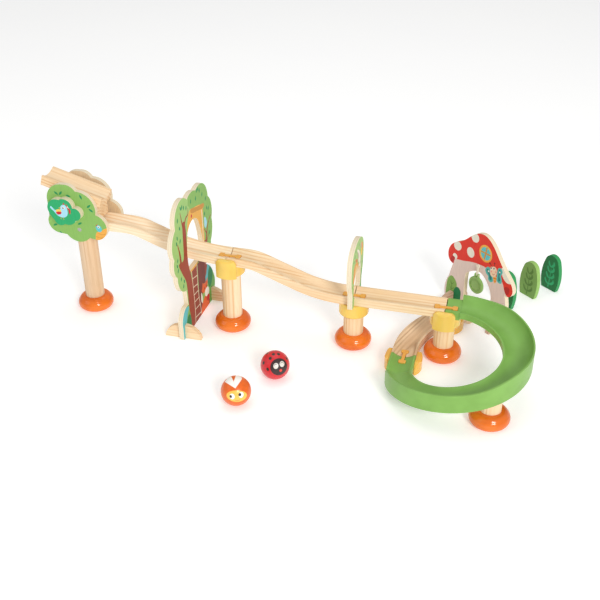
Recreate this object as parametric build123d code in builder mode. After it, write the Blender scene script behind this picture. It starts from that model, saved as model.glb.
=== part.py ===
"""Wooden marble run: five towers, four tracks, a plastic spiral, an exit ramp, three arches, leaf dominoes.

Millimetres, +Z up. The origin is on the floor at the centre of the start tower's foot. +X runs from the
start tower along the straight part of the run, and +Y is the side that the exit ramp turns to.
"""
import os
from math import atan2, cos, degrees, radians, sin, sqrt

from build123d import *

# Balls and track section
BALL_R = 22.5
TRACK_W = 38.8
TRACK_T = 14.0
GROOVE_R = 23.5
GROOVE_HALF = 16.2
GROOVE_RISE = sqrt(GROOVE_R**2 - GROOVE_HALF**2)
GROOVE_DEPTH = GROOVE_R - GROOVE_RISE
SEAM = 0.7  # each track stops this far short of the joint

# Dog-bone key that joins two track ends
KEY_BULB_X = 14.0
KEY_BULB_L = 8.0
KEY_BULB_W = 11.5
KEY_NECK_W = 5.0
KEY_BELOW_TOP = 5.0
SLOT_GAP = 0.5

# Towers
FOOT_R = 30.0
FOOT_H = 23.0
POST_R = 16.0
SOCKET_FLOOR = 8.0
SOCKET_R = POST_R + 0.1
CUP_R = 24.0
CUP_SOCKET = 8.0
CHEEK_HALF = 17.0
CHEEK_IN = TRACK_W / 2 + 0.3
CHEEK_SHOULDER = 22.0
CHEEK_OUT = 27.5
CHEEK_DROP = 2.5  # cheek tops stay this far below the rims
CHEEK_CORNER = 8.0
CHEEK_DOME = 6.0
CHEEK_LOW_ROUND = 9.0
CLIP_BASE = 10.0
CLIP_OUT = 29.5
CLIP_CHEEK_HALF = 20.0

# Levels of the track tops, and where the joints stand along X
TOP_START = 174.0
TOP_UPPER = 138.0
TOP_LOWER = 96.0
TOP_FLOOR = 24.0
X_UPPER = 251.7
X_ARCH = 457.4
X_SPIRAL = 602.8
CUP_Z_UPPER = 103.0
CUP_Z_ARCH = 58.2
CUP_Z_SPIRAL = 62.0

# S-shaped tracks: both bends of a slope turn through this angle
SLOPE_TURN = 20.5
SLOPE_TOP_R = 90.0
UPPER_BENDS = (78.0, 245.0)  # where the upper track's slope starts and ends
MIDDLE_BENDS = (277.0, 445.0)

# Start tower head
PLY = 8.0
PANEL_IN = 20.0
PANEL_OUT = PANEL_IN + PLY
HEAD_HALF_W = 19.8
CHUTE_TOP_X = -55.1
CHUTE_TOP_Z = 245.9
CHUTE_LEN = 104.8
CHUTE_ANGLE = 16.3
CHUTE_T = 16.5
HEAD_X = (-36.0, 34.0)
HEAD_Z = 148.0
LEDGE_Z = TOP_START - TRACK_T
TRACK_START_X = 20.0
CLOUD_T = 10.5
SCREW_XZ = ((3.8, 160.6), (-14.0, 195.0))
DOWEL_R = 3.0
DOWEL_L = 16.0

# Spiral
SPIRAL_C = (634.0, -86.0)
SPIRAL_R = 86.0
SPIRAL_HALF_W = 22.0
SPIRAL_WALL = 3.0
SPIRAL_TURN = 270
SPIRAL_STEP = 15
SPIRAL_RAISE = 4.5  # the fall lags behind an even one by this much half way round
SPIRAL_LEAD = 8.0  # the wide section starts this far before the bend
SPIRAL_LIP = 2.5
BANK_START = 8.0
BANK_MAIN = 15.5
BANK_CREST = 5.5  # extra height of the outer wall around the crest
BANK_CREST_AT = 125.0
BANK_CREST_SPAN = 42.0
BANK_RISE_TURN = 45.0
END_BLEND_TURN = 30.0
SPIRAL_LOW_X = -4.0
SPIRAL_INNER_DEPTH = 9.8  # height of the inner wall; the outer wall is as deep as the tracks
HOLLOW_DROP = 1.0
HOLLOW_DROP_OUT = 1.6
PROP = (690.6, -148.0)
PROP_TOP = 51.0

# Floor curve, exit ramp and the row beyond it
CLIP_FRONT = (SPIRAL_C[0] - SPIRAL_R, -45.0)
CURVE_R = 158.0
CURVE_LEAD = 18.0  # straight length at either end of the curve
EXIT_HEADING = 50.0
CURVE_TURN = 90.0 - EXIT_HEADING
CLIP_REAR = (
    CLIP_FRONT[0] + CURVE_R * (1 - cos(radians(CURVE_TURN))) + CURVE_LEAD * sin(radians(CURVE_TURN)),
    CLIP_FRONT[1] + CURVE_R * sin(radians(CURVE_TURN)) + CURVE_LEAD * (1 + cos(radians(CURVE_TURN))),
)
RAMP_LEN = 100.0
RAMP_FLOOR = 36.0
RAMP_END_TOP = 9.0

# Tree arch
TREE_X = 189.0
CROSS_HALF = 31.0
LAP_GAP = 0.3
TREE_CROSS_H = 24.8
TREE_LAP = 12.5
TREE_FEET_Y = (-55.0, 70.0)

# Mushroom arch and bell: the panel's place along and across the exit line, then places across the panel
MUSHROOM_S = 66.2
MUSHROOM_Q = 5.0
MUSHROOM_FEET_Q = (-62.0, 52.0)
MUSHROOM_CROSS_H = 17.5
MUSHROOM_LAP = 9.0
BELL_Q = -6.0
BELL_HOLE_Z = 93.0
BELL_PIN_Z = 76.5
BELL_PIN_R = 1.3
BELL_R = 15.6
BELL_T = 5.0
BELL_Z = 57.5
BELL_OUT = 1.9  # pin axis in front of the panel face

# Leaf dominoes: distance along the exit line, offset across it
LEAF_T = 8.0
LEAF_H = 66.8
LEAVES = {"leaf_domino_1": (128.2, 11.4), "leaf_domino_2": (187.2, 10.0), "leaf_domino_3": (236.2, 15.2)}

# Loose balls on the floor
BALLS = {"orange_ball": (325.4, -201.2), "ladybird_ball": (362.3, -123.6)}

os.makedirs("parts", exist_ok=True)


def save(part, name):
    """Label a finished piece and write its STEP file."""
    part.label = name
    export_step(part, f"parts/{name}.step")


# ---------------------------------------------------------------- planes


def level_plane(x, y, heading):
    """Level plane at floor height whose local x axis points along the heading."""
    turn = radians(heading)
    return Plane(origin=(x, y, 0), x_dir=(cos(turn), sin(turn), 0), z_dir=(0, 0, 1))


def section_plane(x, y, z, heading):
    """Upright plane across a track at (x, y, z); local y is up and the normal is the direction of travel."""
    turn = radians(heading)
    return Plane(origin=(x, y, z), x_dir=(-sin(turn), cos(turn), 0), z_dir=(cos(turn), sin(turn), 0))


def exit_point(along, across=0.0):
    """Point on the floor at a distance along the exit line and an offset across it."""
    turn = radians(EXIT_HEADING)
    x = CLIP_REAR[0] + along * cos(turn) + across * sin(turn)
    y = CLIP_REAR[1] + along * sin(turn) - across * cos(turn)
    return x, y


def exit_face(along, across=0.0):
    """Upright plane across the exit line that faces back towards the ramp; local x is across, local y is up."""
    turn = radians(EXIT_HEADING)
    x, y = exit_point(along, across)
    return Plane(origin=(x, y, 0), x_dir=(sin(turn), -cos(turn), 0), z_dir=(-cos(turn), -sin(turn), 0))


FRONT_FACE = Plane(origin=(0, -PANEL_OUT, 0), x_dir=(1, 0, 0), z_dir=(0, -1, 0))
REAR_FACE = Plane(origin=(0, PANEL_IN, 0), x_dir=(1, 0, 0), z_dir=(0, -1, 0))
TREE_FACE = Plane(origin=(TREE_X, 0, 0), x_dir=(0, 1, 0), z_dir=(1, 0, 0))
ARCH_FACE = Plane(origin=(X_ARCH + PLY / 2, 0, 0), x_dir=(0, 1, 0), z_dir=(1, 0, 0))


# ---------------------------------------------------------------- shared outlines


def channel(width=TRACK_W, thick=TRACK_T):
    """Track section in the open sketch: a flat bar with a round groove, its rims at local y = 0."""
    Rectangle(width, thick, align=(Align.CENTER, Align.MAX))
    with Locations((0, GROOVE_RISE)):
        Circle(GROOVE_R, mode=Mode.SUBTRACT)


def key_outline(gap=0.0):
    """Dog-bone key outline in the open sketch, grown by a gap all round for the slots."""
    Rectangle(2 * KEY_BULB_X, KEY_NECK_W + 2 * gap)
    with Locations((KEY_BULB_X, 0), (-KEY_BULB_X, 0)):
        RectangleRounded(KEY_BULB_L + 2 * gap, KEY_BULB_W + 2 * gap, 2.2)


def lobed_outline(start, lobes):
    """Closed outline of arcs: each lobe is (crest point, end point), or (None, end point) for a straight."""
    here = start
    for crest, end in lobes:
        if crest is None:
            Line(here, end)
        else:
            ThreePointArc(here, crest, end)
        here = end


def key_slots(*joints):
    """Cutting tools for the key slots of track ends: one for each (x, y, heading, track top)."""
    tools = []
    for x, y, heading, top in joints:
        with BuildPart() as tool:
            with BuildSketch(level_plane(x, y, heading).offset(top - 2 * TRACK_T)):
                key_outline(SLOT_GAP)
            extrude(amount=3 * TRACK_T)
        tools.append(tool.part)
    return tools


# ---------------------------------------------------------------- towers


def build_foot(x, y):
    """Rounded orange foot with a blind socket for the post."""
    with BuildPart() as foot:
        with BuildSketch(Plane(origin=(x, y, 0), x_dir=(1, 0, 0), z_dir=(0, -1, 0))):
            with BuildLine():
                Line((0, 0), (24.5, 0))
                ThreePointArc((24.5, 0), (FOOT_R, 9.5), (26.6, 18))
                ThreePointArc((26.6, 18), (23, 21.6), (18, FOOT_H))
                Polyline((18, FOOT_H), (0, FOOT_H), (0, 0))
            make_face()
        revolve(axis=Axis((x, y, 0), (0, 0, 1)))
        with BuildSketch(level_plane(x, y, 0).offset(SOCKET_FLOOR)):
            Circle(SOCKET_R)
        extrude(amount=FOOT_H, mode=Mode.SUBTRACT)
    return foot.part


def build_post(x, y, top):
    """Turned wooden post from the foot's socket up to the given height."""
    with BuildPart() as post:
        with BuildSketch(level_plane(x, y, 0).offset(SOCKET_FLOOR)):
            Circle(POST_R)
        extrude(amount=top - SOCKET_FLOOR)
        chamfer(post.edges(), 0.6)
    return post.part


def build_cheek(x, y, heading, side, half, out, bottom, top, bottom_round):
    """Side cheek of a connector: a bulged plate beside the track, with rounded corners and a domed top edge."""
    with BuildPart() as cheek:
        with BuildSketch(level_plane(x, y, heading).offset(bottom)):
            with BuildLine():
                Polyline(
                    (-half, side * CHEEK_SHOULDER),
                    (-half, side * CHEEK_IN),
                    (half, side * CHEEK_IN),
                    (half, side * CHEEK_SHOULDER),
                )
                ThreePointArc((half, side * CHEEK_SHOULDER), (0, side * out), (-half, side * CHEEK_SHOULDER))
            make_face()
        extrude(amount=top - bottom)
        turn = radians(heading)
        upright = Plane(origin=(x, y, 0), x_dir=(cos(turn), sin(turn), 0), z_dir=(sin(turn), -cos(turn), 0))
        with BuildSketch(upright):
            with Locations((0, (top + bottom) / 2)):
                face = Rectangle(2 * half, top - bottom)
            corners = face.vertices().group_by(Axis.Y)
            fillet(corners[-1], CHEEK_CORNER)
            if bottom_round:
                fillet(corners[0], bottom_round)
        extrude(amount=2 * out, both=True, mode=Mode.INTERSECT)
        with BuildSketch(section_plane(x, y, 0, heading)):
            with Locations((0, (top + bottom) / 2)):
                profile = Rectangle(2 * out, top - bottom)
            fillet(profile.vertices().group_by(Axis.Y)[-1], CHEEK_DOME)
        extrude(amount=2 * half, both=True, mode=Mode.INTERSECT)
    return cheek.part


def build_connector(x, y, heading, top, cup_bottom, cheeks):
    """Yellow cup on a tower: socket below, key above, and cheeks that hold the track ends sideways."""
    rail = top - TRACK_T
    plates = []
    if cheeks:
        plates = [
            build_cheek(
                x, y, heading, side, CHEEK_HALF, CHEEK_OUT, cup_bottom, top - CHEEK_DROP, CHEEK_LOW_ROUND
            )
            for side in (1, -1)
        ]
    with BuildPart() as connector:
        with BuildSketch(level_plane(x, y, heading).offset(cup_bottom)):
            Circle(CUP_R)
        extrude(amount=rail - cup_bottom)
        fillet(connector.edges().filter_by(GeomType.CIRCLE).group_by(Axis.Z)[0], 4)
        for plate in plates:
            add(plate)
        with BuildSketch(level_plane(x, y, heading).offset(rail)):
            key_outline()
        extrude(amount=TRACK_T - KEY_BELOW_TOP)
        with BuildSketch(level_plane(x, y, heading).offset(cup_bottom)):
            Circle(SOCKET_R)
        extrude(amount=CUP_SOCKET, mode=Mode.SUBTRACT)
    return connector.part


def build_floor_clip(x, y, heading):
    """Yellow U-shaped clip that joins two tracks at floor level."""
    plates = [
        build_cheek(x, y, heading, side, CLIP_CHEEK_HALF, CLIP_OUT, 0, TOP_FLOOR - CHEEK_DROP, 0) for side in (1, -1)
    ]
    with BuildPart() as clip:
        with BuildSketch(level_plane(x, y, heading)):
            Rectangle(2 * CHEEK_HALF, 2 * CHEEK_SHOULDER)
        extrude(amount=CLIP_BASE)
        for plate in plates:
            add(plate)
        with BuildSketch(level_plane(x, y, heading).offset(CLIP_BASE)):
            key_outline()
        extrude(amount=TOP_FLOOR - KEY_BELOW_TOP - CLIP_BASE)
    return clip.part


TOWERS = {
    "start_tower": (0.0, 0.0, HEAD_Z + CUP_SOCKET),
    "tree_tower": (X_UPPER, 0.0, CUP_Z_UPPER + CUP_SOCKET),
    "rabbit_tower": (X_ARCH, 0.0, CUP_Z_ARCH + CUP_SOCKET),
    "spiral_tower": (X_SPIRAL, 0.0, CUP_Z_SPIRAL + CUP_SOCKET),
    "spiral_prop": (PROP[0], PROP[1], PROP_TOP),
}
for tower, (tower_x, tower_y, post_top) in TOWERS.items():
    save(build_foot(tower_x, tower_y), f"{tower}_foot")
    save(build_post(tower_x, tower_y, post_top), f"{tower}_post")

save(build_connector(X_UPPER, 0, 0, TOP_UPPER, CUP_Z_UPPER, True), "tree_tower_connector")
save(build_connector(X_ARCH, 0, 0, TOP_LOWER, CUP_Z_ARCH, False), "rabbit_tower_connector")
save(build_connector(X_SPIRAL, 0, 0, TOP_LOWER, CUP_Z_SPIRAL, True), "spiral_tower_connector")
save(build_floor_clip(*CLIP_FRONT, 90), "front_floor_clip")
save(build_floor_clip(*CLIP_REAR, EXIT_HEADING), "rear_floor_clip")


# ---------------------------------------------------------------- wooden tracks


def build_slope(x0, x_bend, z0, x_level, x1, z1, slots, dowel_x=None):
    """S-shaped wooden track that falls from z0 to z1 between two level ends."""
    turn = radians(SLOPE_TURN)
    fall = z0 - z1 - SLOPE_TOP_R * (1 - cos(turn))
    run = x_level - x_bend - SLOPE_TOP_R * sin(turn)
    # Lower bend radius and straight length that close the S: two linear equations
    det = sin(turn) * sin(turn) - cos(turn) * (1 - cos(turn))
    low_r = (run * sin(turn) - fall * cos(turn)) / det
    mid_len = (fall * sin(turn) - run * (1 - cos(turn))) / det
    tools = key_slots(*slots)
    with BuildPart() as track:
        with BuildLine(Plane.XZ):
            bend_in = Line((x0, z0), (x_bend, z0))
            upper = JernArc(bend_in @ 1, bend_in % 1, SLOPE_TOP_R, -SLOPE_TURN)
            middle = Line(upper @ 1, (upper @ 1) + (upper % 1) * mid_len)
            lower = JernArc(middle @ 1, middle % 1, low_r, SLOPE_TURN)
            Line(lower @ 1, (x1, z1))
        with BuildSketch(section_plane(x0, 0, z0, 0)):
            channel()
        sweep()
        for tool in tools:
            add(tool, mode=Mode.SUBTRACT)
        if dowel_x is not None:
            with BuildSketch(level_plane(dowel_x, 0, 0).offset(z0 - TRACK_T)):
                Circle(DOWEL_R + 0.05)
            extrude(amount=DOWEL_L / 2 - 3, mode=Mode.SUBTRACT)
    return track.part


TRACK_DOWEL_X = 30.0
save(
    build_slope(
        TRACK_START_X + SEAM, UPPER_BENDS[0], TOP_START, UPPER_BENDS[1], X_UPPER - SEAM, TOP_UPPER,
        [(X_UPPER, 0, 0, TOP_UPPER)], TRACK_DOWEL_X,
    ),
    "upper_track",
)
save(
    build_slope(
        X_UPPER + SEAM, MIDDLE_BENDS[0], TOP_UPPER, MIDDLE_BENDS[1], X_ARCH - SEAM, TOP_LOWER,
        [(X_UPPER, 0, 0, TOP_UPPER), (X_ARCH, 0, 0, TOP_LOWER)],
    ),
    "middle_track",
)

straight_slots = key_slots((X_ARCH, 0, 0, TOP_LOWER), (X_SPIRAL, 0, 0, TOP_LOWER))
with BuildPart() as straight_track:
    with BuildSketch(section_plane(X_ARCH + SEAM, 0, TOP_LOWER, 0)):
        channel()
    extrude(amount=X_SPIRAL - X_ARCH - 2 * SEAM)
    for slot in straight_slots:
        add(slot, mode=Mode.SUBTRACT)
save(straight_track.part, "straight_track")

curve_slots = key_slots((*CLIP_FRONT, 90, TOP_FLOOR), (*CLIP_REAR, EXIT_HEADING, TOP_FLOOR))
with BuildPart() as curved_track:
    with BuildLine(level_plane(*CLIP_FRONT, 90).offset(TOP_FLOOR)):
        lead_in = Line((SEAM, 0), (CURVE_LEAD, 0))
        bend = JernArc(lead_in @ 1, lead_in % 1, CURVE_R, -CURVE_TURN)
        Line(bend @ 1, (bend @ 1) + (bend % 1) * (CURVE_LEAD - SEAM))
    with BuildSketch(section_plane(CLIP_FRONT[0], CLIP_FRONT[1] + SEAM, TOP_FLOOR, 90)):
        channel()
    sweep()
    for slot in curve_slots:
        add(slot, mode=Mode.SUBTRACT)
save(curved_track.part, "curved_track")

exit_turn = radians(EXIT_HEADING)
RAMP_SIDE = Plane(
    origin=(*CLIP_REAR, 0), x_dir=(cos(exit_turn), sin(exit_turn), 0), z_dir=(sin(exit_turn), -cos(exit_turn), 0)
)
ramp_slots = key_slots((*CLIP_REAR, EXIT_HEADING, TOP_FLOOR))
RAMP_LEVEL = 20.0
RAMP_TOP_ANGLE = degrees(atan2(TOP_FLOOR - RAMP_END_TOP, RAMP_LEN - RAMP_LEVEL))
ramp_bend = exit_point(RAMP_LEVEL)
ramp_end = exit_point(RAMP_LEN)
with BuildPart() as ramp_groove:
    for start, end, z_start, z_end in (
        (CLIP_REAR, ramp_bend, TOP_FLOOR, TOP_FLOOR),
        (ramp_bend, ramp_end, TOP_FLOOR, RAMP_END_TOP),
    ):
        run = Vector(end[0] - start[0], end[1] - start[1], z_end - z_start)
        side = Vector(-sin(exit_turn), cos(exit_turn), 0)
        groove_plane = Plane(origin=(start[0], start[1], z_start), x_dir=side, z_dir=run.normalized())
        with BuildSketch(groove_plane):
            with Locations((0, GROOVE_RISE)):
                Circle(GROOVE_R)
        extrude(amount=run.length + 12)
        with BuildSketch(groove_plane):
            with Locations((0, GROOVE_RISE)):
                Circle(GROOVE_R)
        extrude(amount=-6)
with BuildPart() as exit_ramp:
    with BuildSketch(RAMP_SIDE):
        with BuildLine():
            Polyline(
                (SEAM, CLIP_BASE),
                (SEAM, TOP_FLOOR),
                (RAMP_LEVEL, TOP_FLOOR),
                (RAMP_LEN, RAMP_END_TOP),
                (RAMP_LEN, 0),
                (RAMP_FLOOR, 0),
                (CHEEK_HALF + 1, CLIP_BASE),
                close=True,
            )
        make_face()
    extrude(amount=TRACK_W / 2, both=True)
    add(ramp_groove.part, mode=Mode.SUBTRACT)
    for slot in ramp_slots:
        add(slot, mode=Mode.SUBTRACT)
save(exit_ramp.part, "exit_ramp")


# ---------------------------------------------------------------- start tower head


def chute_plane(along=0.0):
    """Plane across the chute at a distance along its rims; local y is square to the rims, upwards."""
    slope = radians(CHUTE_ANGLE)
    return Plane(
        origin=(CHUTE_TOP_X + along * cos(slope), 0, CHUTE_TOP_Z - along * sin(slope)),
        x_dir=(0, 1, 0),
        z_dir=(cos(slope), 0, -sin(slope)),
    )


def chute_underside(x):
    """Height of the chute's underside above the floor at a given x."""
    slope = radians(CHUTE_ANGLE)
    return CHUTE_TOP_Z - (x - CHUTE_TOP_X) * sin(slope) / cos(slope) - CHUTE_T / cos(slope)


CHUTE_DOWEL_AT = (38.0, 74.0)
CHUTE_DOWEL_IN = 7.0


def build_dowel(base):
    """Plain dowel pin that stands on a plane."""
    with BuildPart() as dowel:
        with BuildSketch(base):
            Circle(DOWEL_R)
        extrude(amount=DOWEL_L)
        chamfer(dowel.edges(), 0.4)
    return dowel.part


def build_dowel_hole(base):
    """Clearance bore for one dowel pin."""
    with BuildPart() as bore:
        with BuildSketch(base.offset(-0.4)):
            Circle(DOWEL_R + 0.05)
        extrude(amount=DOWEL_L + 0.8)
    return bore.part


def dowel_planes():
    """Foot of each dowel: two square to the chute, one upright under the upper track."""
    slope = radians(CHUTE_ANGLE)
    planes = []
    for along in CHUTE_DOWEL_AT:
        cross = chute_plane(along)
        down = cross.origin - cross.y_dir * (CHUTE_T + DOWEL_L - CHUTE_DOWEL_IN)
        planes.append(Plane(origin=down, x_dir=(0, 1, 0), z_dir=(sin(slope), 0, cos(slope))))
    planes.append(level_plane(TRACK_DOWEL_X, 0, 0).offset(LEDGE_Z - DOWEL_L + 4.5))
    return planes


dowel_bores = [build_dowel_hole(base) for base in dowel_planes()]
with BuildPart() as head_dowels:
    for dowel_base in dowel_planes():
        add(build_dowel(dowel_base))
save(head_dowels.part, "head_dowels")

with BuildPart() as start_chute:
    with BuildSketch(chute_plane()):
        channel(2 * HEAD_HALF_W, CHUTE_T)
    extrude(amount=CHUTE_LEN)
    for bore in dowel_bores[:2]:
        add(bore, mode=Mode.SUBTRACT)
save(start_chute.part, "start_chute")


def build_screw(face, x, z, inward, head_r, shank_r, length):
    """Countersunk screw whose head lies flush with a panel face and whose shank points inward."""
    with BuildPart() as screw:
        with BuildSketch(face):
            with Locations((x, z)):
                Circle(head_r)
        extrude(amount=inward * 2.4, taper=42)
        with BuildSketch(face):
            with Locations((x, z)):
                Circle(shank_r)
        extrude(amount=inward * length)
    return screw.part


SCREW_FACES = ((FRONT_FACE, -1), (REAR_FACE.offset(-PLY), 1))
SCREW_L = 18.0
screw_bores = []
with BuildPart() as panel_screws:
    for screw_face, inward in SCREW_FACES:
        for screw_x, screw_z in SCREW_XZ:
            add(build_screw(screw_face, screw_x, screw_z, inward, 3.4, 1.6, SCREW_L))
            screw_bores.append(build_screw(screw_face, screw_x, screw_z, inward, 3.5, 1.65, SCREW_L + 1))
save(panel_screws.part, "panel_screws")

with BuildPart() as head_block:
    with BuildSketch(Plane.XZ):
        with BuildLine():
            Polyline(
                (-22, HEAD_Z),
                (30, HEAD_Z),
                (44, HEAD_Z + 6),
                (44, LEDGE_Z),
                (TRACK_START_X, LEDGE_Z),
                (TRACK_START_X, TOP_START + 1),
                (HEAD_X[1], TOP_START + 1),
                (HEAD_X[1], chute_underside(HEAD_X[1])),
                (HEAD_X[0], chute_underside(HEAD_X[0])),
                (HEAD_X[0], HEAD_Z + 12),
                close=True,
            )
        make_face()
    extrude(amount=HEAD_HALF_W, both=True)
    with BuildSketch(level_plane(0, 0, 0).offset(HEAD_Z)):
        Circle(SOCKET_R)
    extrude(amount=CUP_SOCKET, mode=Mode.SUBTRACT)
    for bore in dowel_bores + screw_bores:
        add(bore, mode=Mode.SUBTRACT)
save(head_block.part, "head_block")

TREETOP_START = (-47.3, 180.2)
TREETOP_LOBES = [
    (None, (-47.0, 207.0)),
    ((-38.0, 230.5), (-15.8, 238.1)),
    ((-3.0, 236.2), (5.1, 228.4)),
    ((27.0, 220.4), (35.8, 190.5)),
    ((53.2, 167.0), (35.4, 145.5)),
    (None, (20.5, 147.8)),
    ((-1.5, 138.5), (-19.5, 149.2)),
    (None, (-31.7, 150.5)),
    ((-47.5, 159.0), TREETOP_START),
]


def build_treetop_panel(face):
    """Cloud-shaped plywood side of the start tower's head."""
    with BuildPart() as panel:
        with BuildSketch(face):
            with BuildLine():
                lobed_outline(TREETOP_START, TREETOP_LOBES)
            make_face()
        extrude(amount=-PLY)
        for hole in screw_bores:
            add(hole, mode=Mode.SUBTRACT)
    return panel.part


save(build_treetop_panel(FRONT_FACE), "treetop_panel_front")
save(build_treetop_panel(REAR_FACE.offset(-PLY)), "treetop_panel_rear")

CLOUD_START = (-41.3, 193.6)
CLOUD_LOBES = [
    ((-35.6, 212.6), (-20.5, 215.6)),
    ((-5.0, 216.0), (2.1, 203.3)),
    ((14.4, 197.6), (5.9, 181.9)),
    ((-2.6, 174.2), (-14.8, 173.8)),
    ((-27.2, 171.9), (-32.3, 178.7)),
    ((-37.6, 186.0), CLOUD_START),
]
with BuildPart() as bird_cloud:
    with BuildSketch(FRONT_FACE):
        with BuildLine():
            lobed_outline(CLOUD_START, CLOUD_LOBES)
        make_face()
    extrude(amount=CLOUD_T)
save(bird_cloud.part, "bird_cloud")


# ---------------------------------------------------------------- spiral


def spiral_point(angle):
    """Centreline point of the spiral at a polar angle about its centre."""
    return SPIRAL_C[0] + SPIRAL_R * cos(radians(angle)), SPIRAL_C[1] + SPIRAL_R * sin(radians(angle))


def smooth(value):
    """Smooth step from 0 to 1."""
    value = min(1.0, max(0.0, value))
    return value * value * (3 - 2 * value)


def spiral_height(turned):
    """Height of the inner rim after a number of degrees of turn."""
    fall = (TOP_FLOOR - TOP_LOWER) * turned / SPIRAL_TURN
    return TOP_LOWER + fall + SPIRAL_RAISE * sin(radians(180 * turned / SPIRAL_TURN))


def spiral_bank(turned):
    """Height of the outer wall above the inner rim, before it blends into the lower end."""
    crest = max(0.0, 1 - abs(turned - BANK_CREST_AT) / BANK_CREST_SPAN)
    return BANK_START + (BANK_MAIN - BANK_START) * smooth(turned / BANK_RISE_TURN) + BANK_CREST * smooth(crest)


def spiral_plane(turned):
    """Section plane of the spiral: local x points away from its centre."""
    angle = 90 - turned
    x, y = spiral_point(angle)
    return Plane(
        origin=(x, y, spiral_height(turned)),
        x_dir=(cos(radians(angle)), sin(radians(angle)), 0),
        z_dir=(sin(radians(angle)), -cos(radians(angle)), 0),
    )


def spiral_section(turned):
    """Banked channel section in the open line; it becomes the plain track section at the lower end."""
    wide = smooth((SPIRAL_TURN - turned) / END_BLEND_TURN)
    bank = spiral_bank(turned) * wide
    half = TRACK_W / 2 + (SPIRAL_HALF_W - TRACK_W / 2) * wide
    lip = (TRACK_W / 2 - GROOVE_HALF) * (1 - wide) + SPIRAL_LIP * wide
    inner = TRACK_T + (SPIRAL_INNER_DEPTH - TRACK_T) * wide
    Line((-half, 0), (lip - half, 0))
    ThreePointArc((lip - half, 0), (SPIRAL_LOW_X * wide, -GROOVE_DEPTH), (half - lip, bank))
    Polyline((half - lip, bank), (half, bank), (half, -TRACK_T), (-half, -inner), (-half, 0))


def hollow_section(turned):
    """Outline in the open line of the hollow under the channel, a wall's thickness inside the section."""
    wide = smooth((SPIRAL_TURN - turned) / END_BLEND_TURN)
    edge = TRACK_W / 2 + (SPIRAL_HALF_W - TRACK_W / 2) * wide - SPIRAL_WALL
    inner_z = -SPIRAL_WALL - HOLLOW_DROP
    outer_z = spiral_bank(turned) * wide - SPIRAL_WALL - HOLLOW_DROP_OUT
    floor = -TRACK_T - HOLLOW_DROP
    ThreePointArc((-edge, inner_z), (SPIRAL_LOW_X * wide, -GROOVE_DEPTH - SPIRAL_WALL), (edge, outer_z))
    Polyline((edge, outer_z), (edge, floor), (-edge, floor), (-edge, inner_z))


def spiral_loft(section):
    """Loft of a section round the spiral."""
    with BuildPart() as body:
        for turned in range(0, SPIRAL_TURN + 1, SPIRAL_STEP):
            with BuildSketch(spiral_plane(turned)):
                with BuildLine():
                    section(turned)
                make_face()
        loft()
    return body.part


SPIRAL_IN = (SPIRAL_C[0], 0.0)
SPIRAL_END = (SPIRAL_C[0] - SPIRAL_R, SPIRAL_C[1])
spiral_outer = spiral_loft(spiral_section)
spiral_hollow = spiral_loft(hollow_section)
with BuildPart() as prop_boss:
    with BuildSketch(level_plane(*PROP, 0)):
        Circle(POST_R + 3)
    extrude(amount=TOP_LOWER)
boss_solid = prop_boss.part & spiral_outer
with BuildPart() as spiral:
    add(spiral_outer)
    add(spiral_hollow, mode=Mode.SUBTRACT)
    with BuildSketch(spiral_plane(0)):
        with BuildLine():
            spiral_section(0)
        make_face()
    extrude(amount=-SPIRAL_LEAD)
    add(boss_solid)
    with BuildSketch(level_plane(*PROP, 0)):
        Circle(SOCKET_R)
    extrude(amount=PROP_TOP + 0.1, mode=Mode.SUBTRACT)
    with BuildSketch(section_plane(X_SPIRAL + SEAM, 0, TOP_LOWER, 0)):
        channel()
    extrude(amount=SPIRAL_IN[0] - X_SPIRAL - SEAM - SPIRAL_LEAD)
    with BuildSketch(section_plane(*SPIRAL_END, TOP_FLOOR, 90)):
        channel()
    extrude(amount=CLIP_FRONT[1] - SPIRAL_END[1] - SEAM)
    for slot in key_slots((X_SPIRAL, 0, 0, TOP_LOWER), (*CLIP_FRONT, 90, TOP_FLOOR)):
        add(slot, mode=Mode.SUBTRACT)
save(spiral.part, "spiral")


# ---------------------------------------------------------------- arches


def build_cross_foot(plane, height, lap):
    """Half-moon foot that laps over the bottom edge of a panel; the plane stands at its middle."""
    with BuildPart() as cross:
        with BuildSketch(plane):
            Ellipse(CROSS_HALF, height)
            Rectangle(2 * CROSS_HALF, height, align=(Align.CENTER, Align.MIN), mode=Mode.INTERSECT)
            with Locations((0, lap)):
                Rectangle(PLY + LAP_GAP, height, align=(Align.CENTER, Align.MIN), mode=Mode.SUBTRACT)
        extrude(amount=PLY / 2, both=True)
    return cross.part


def lap_notches(lap, *places):
    """Notches in the open sketch for the cross feet, at places along a panel's bottom edge."""
    with Locations(*[(place, 0) for place in places]):
        Rectangle(PLY + LAP_GAP, lap + 0.2, align=(Align.CENTER, Align.MIN), mode=Mode.SUBTRACT)


TREE_START = (-65.0, 0.0)
TREE_LOBES = [
    (None, (-65.4, 22.0)),
    ((-60.0, 44.5), (-46.5, 52.4)),
    (None, (-36.6, 51.5)),
    (None, (-40.5, 81.0)),
    ((-62.5, 94.0), (-70.6, 121.0)),
    ((-81.2, 138.0), (-77.4, 156.0)),
    ((-82.4, 179.0), (-65.2, 201.4)),
    ((-58.0, 229.0), (-12.3, 229.3)),
    ((8.0, 233.4), (25.4, 228.4)),
    ((59.0, 226.4), (77.0, 195.7)),
    ((91.6, 171.0), (88.2, 150.4)),
    ((88.5, 129.0), (79.0, 112.0)),
    ((70.0, 90.5), (48.0, 82.0)),
    ((68.5, 67.0), (82.5, 44.0)),
    ((86.2, 27.5), (78.5, TREE_LAP + 0.2)),
    (None, (65.8, TREE_LAP + 0.2)),
    (None, (65.8, 0.0)),
    (None, TREE_START),
]
TREE_OPENING_START = (-20.0, 105.0)
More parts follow.
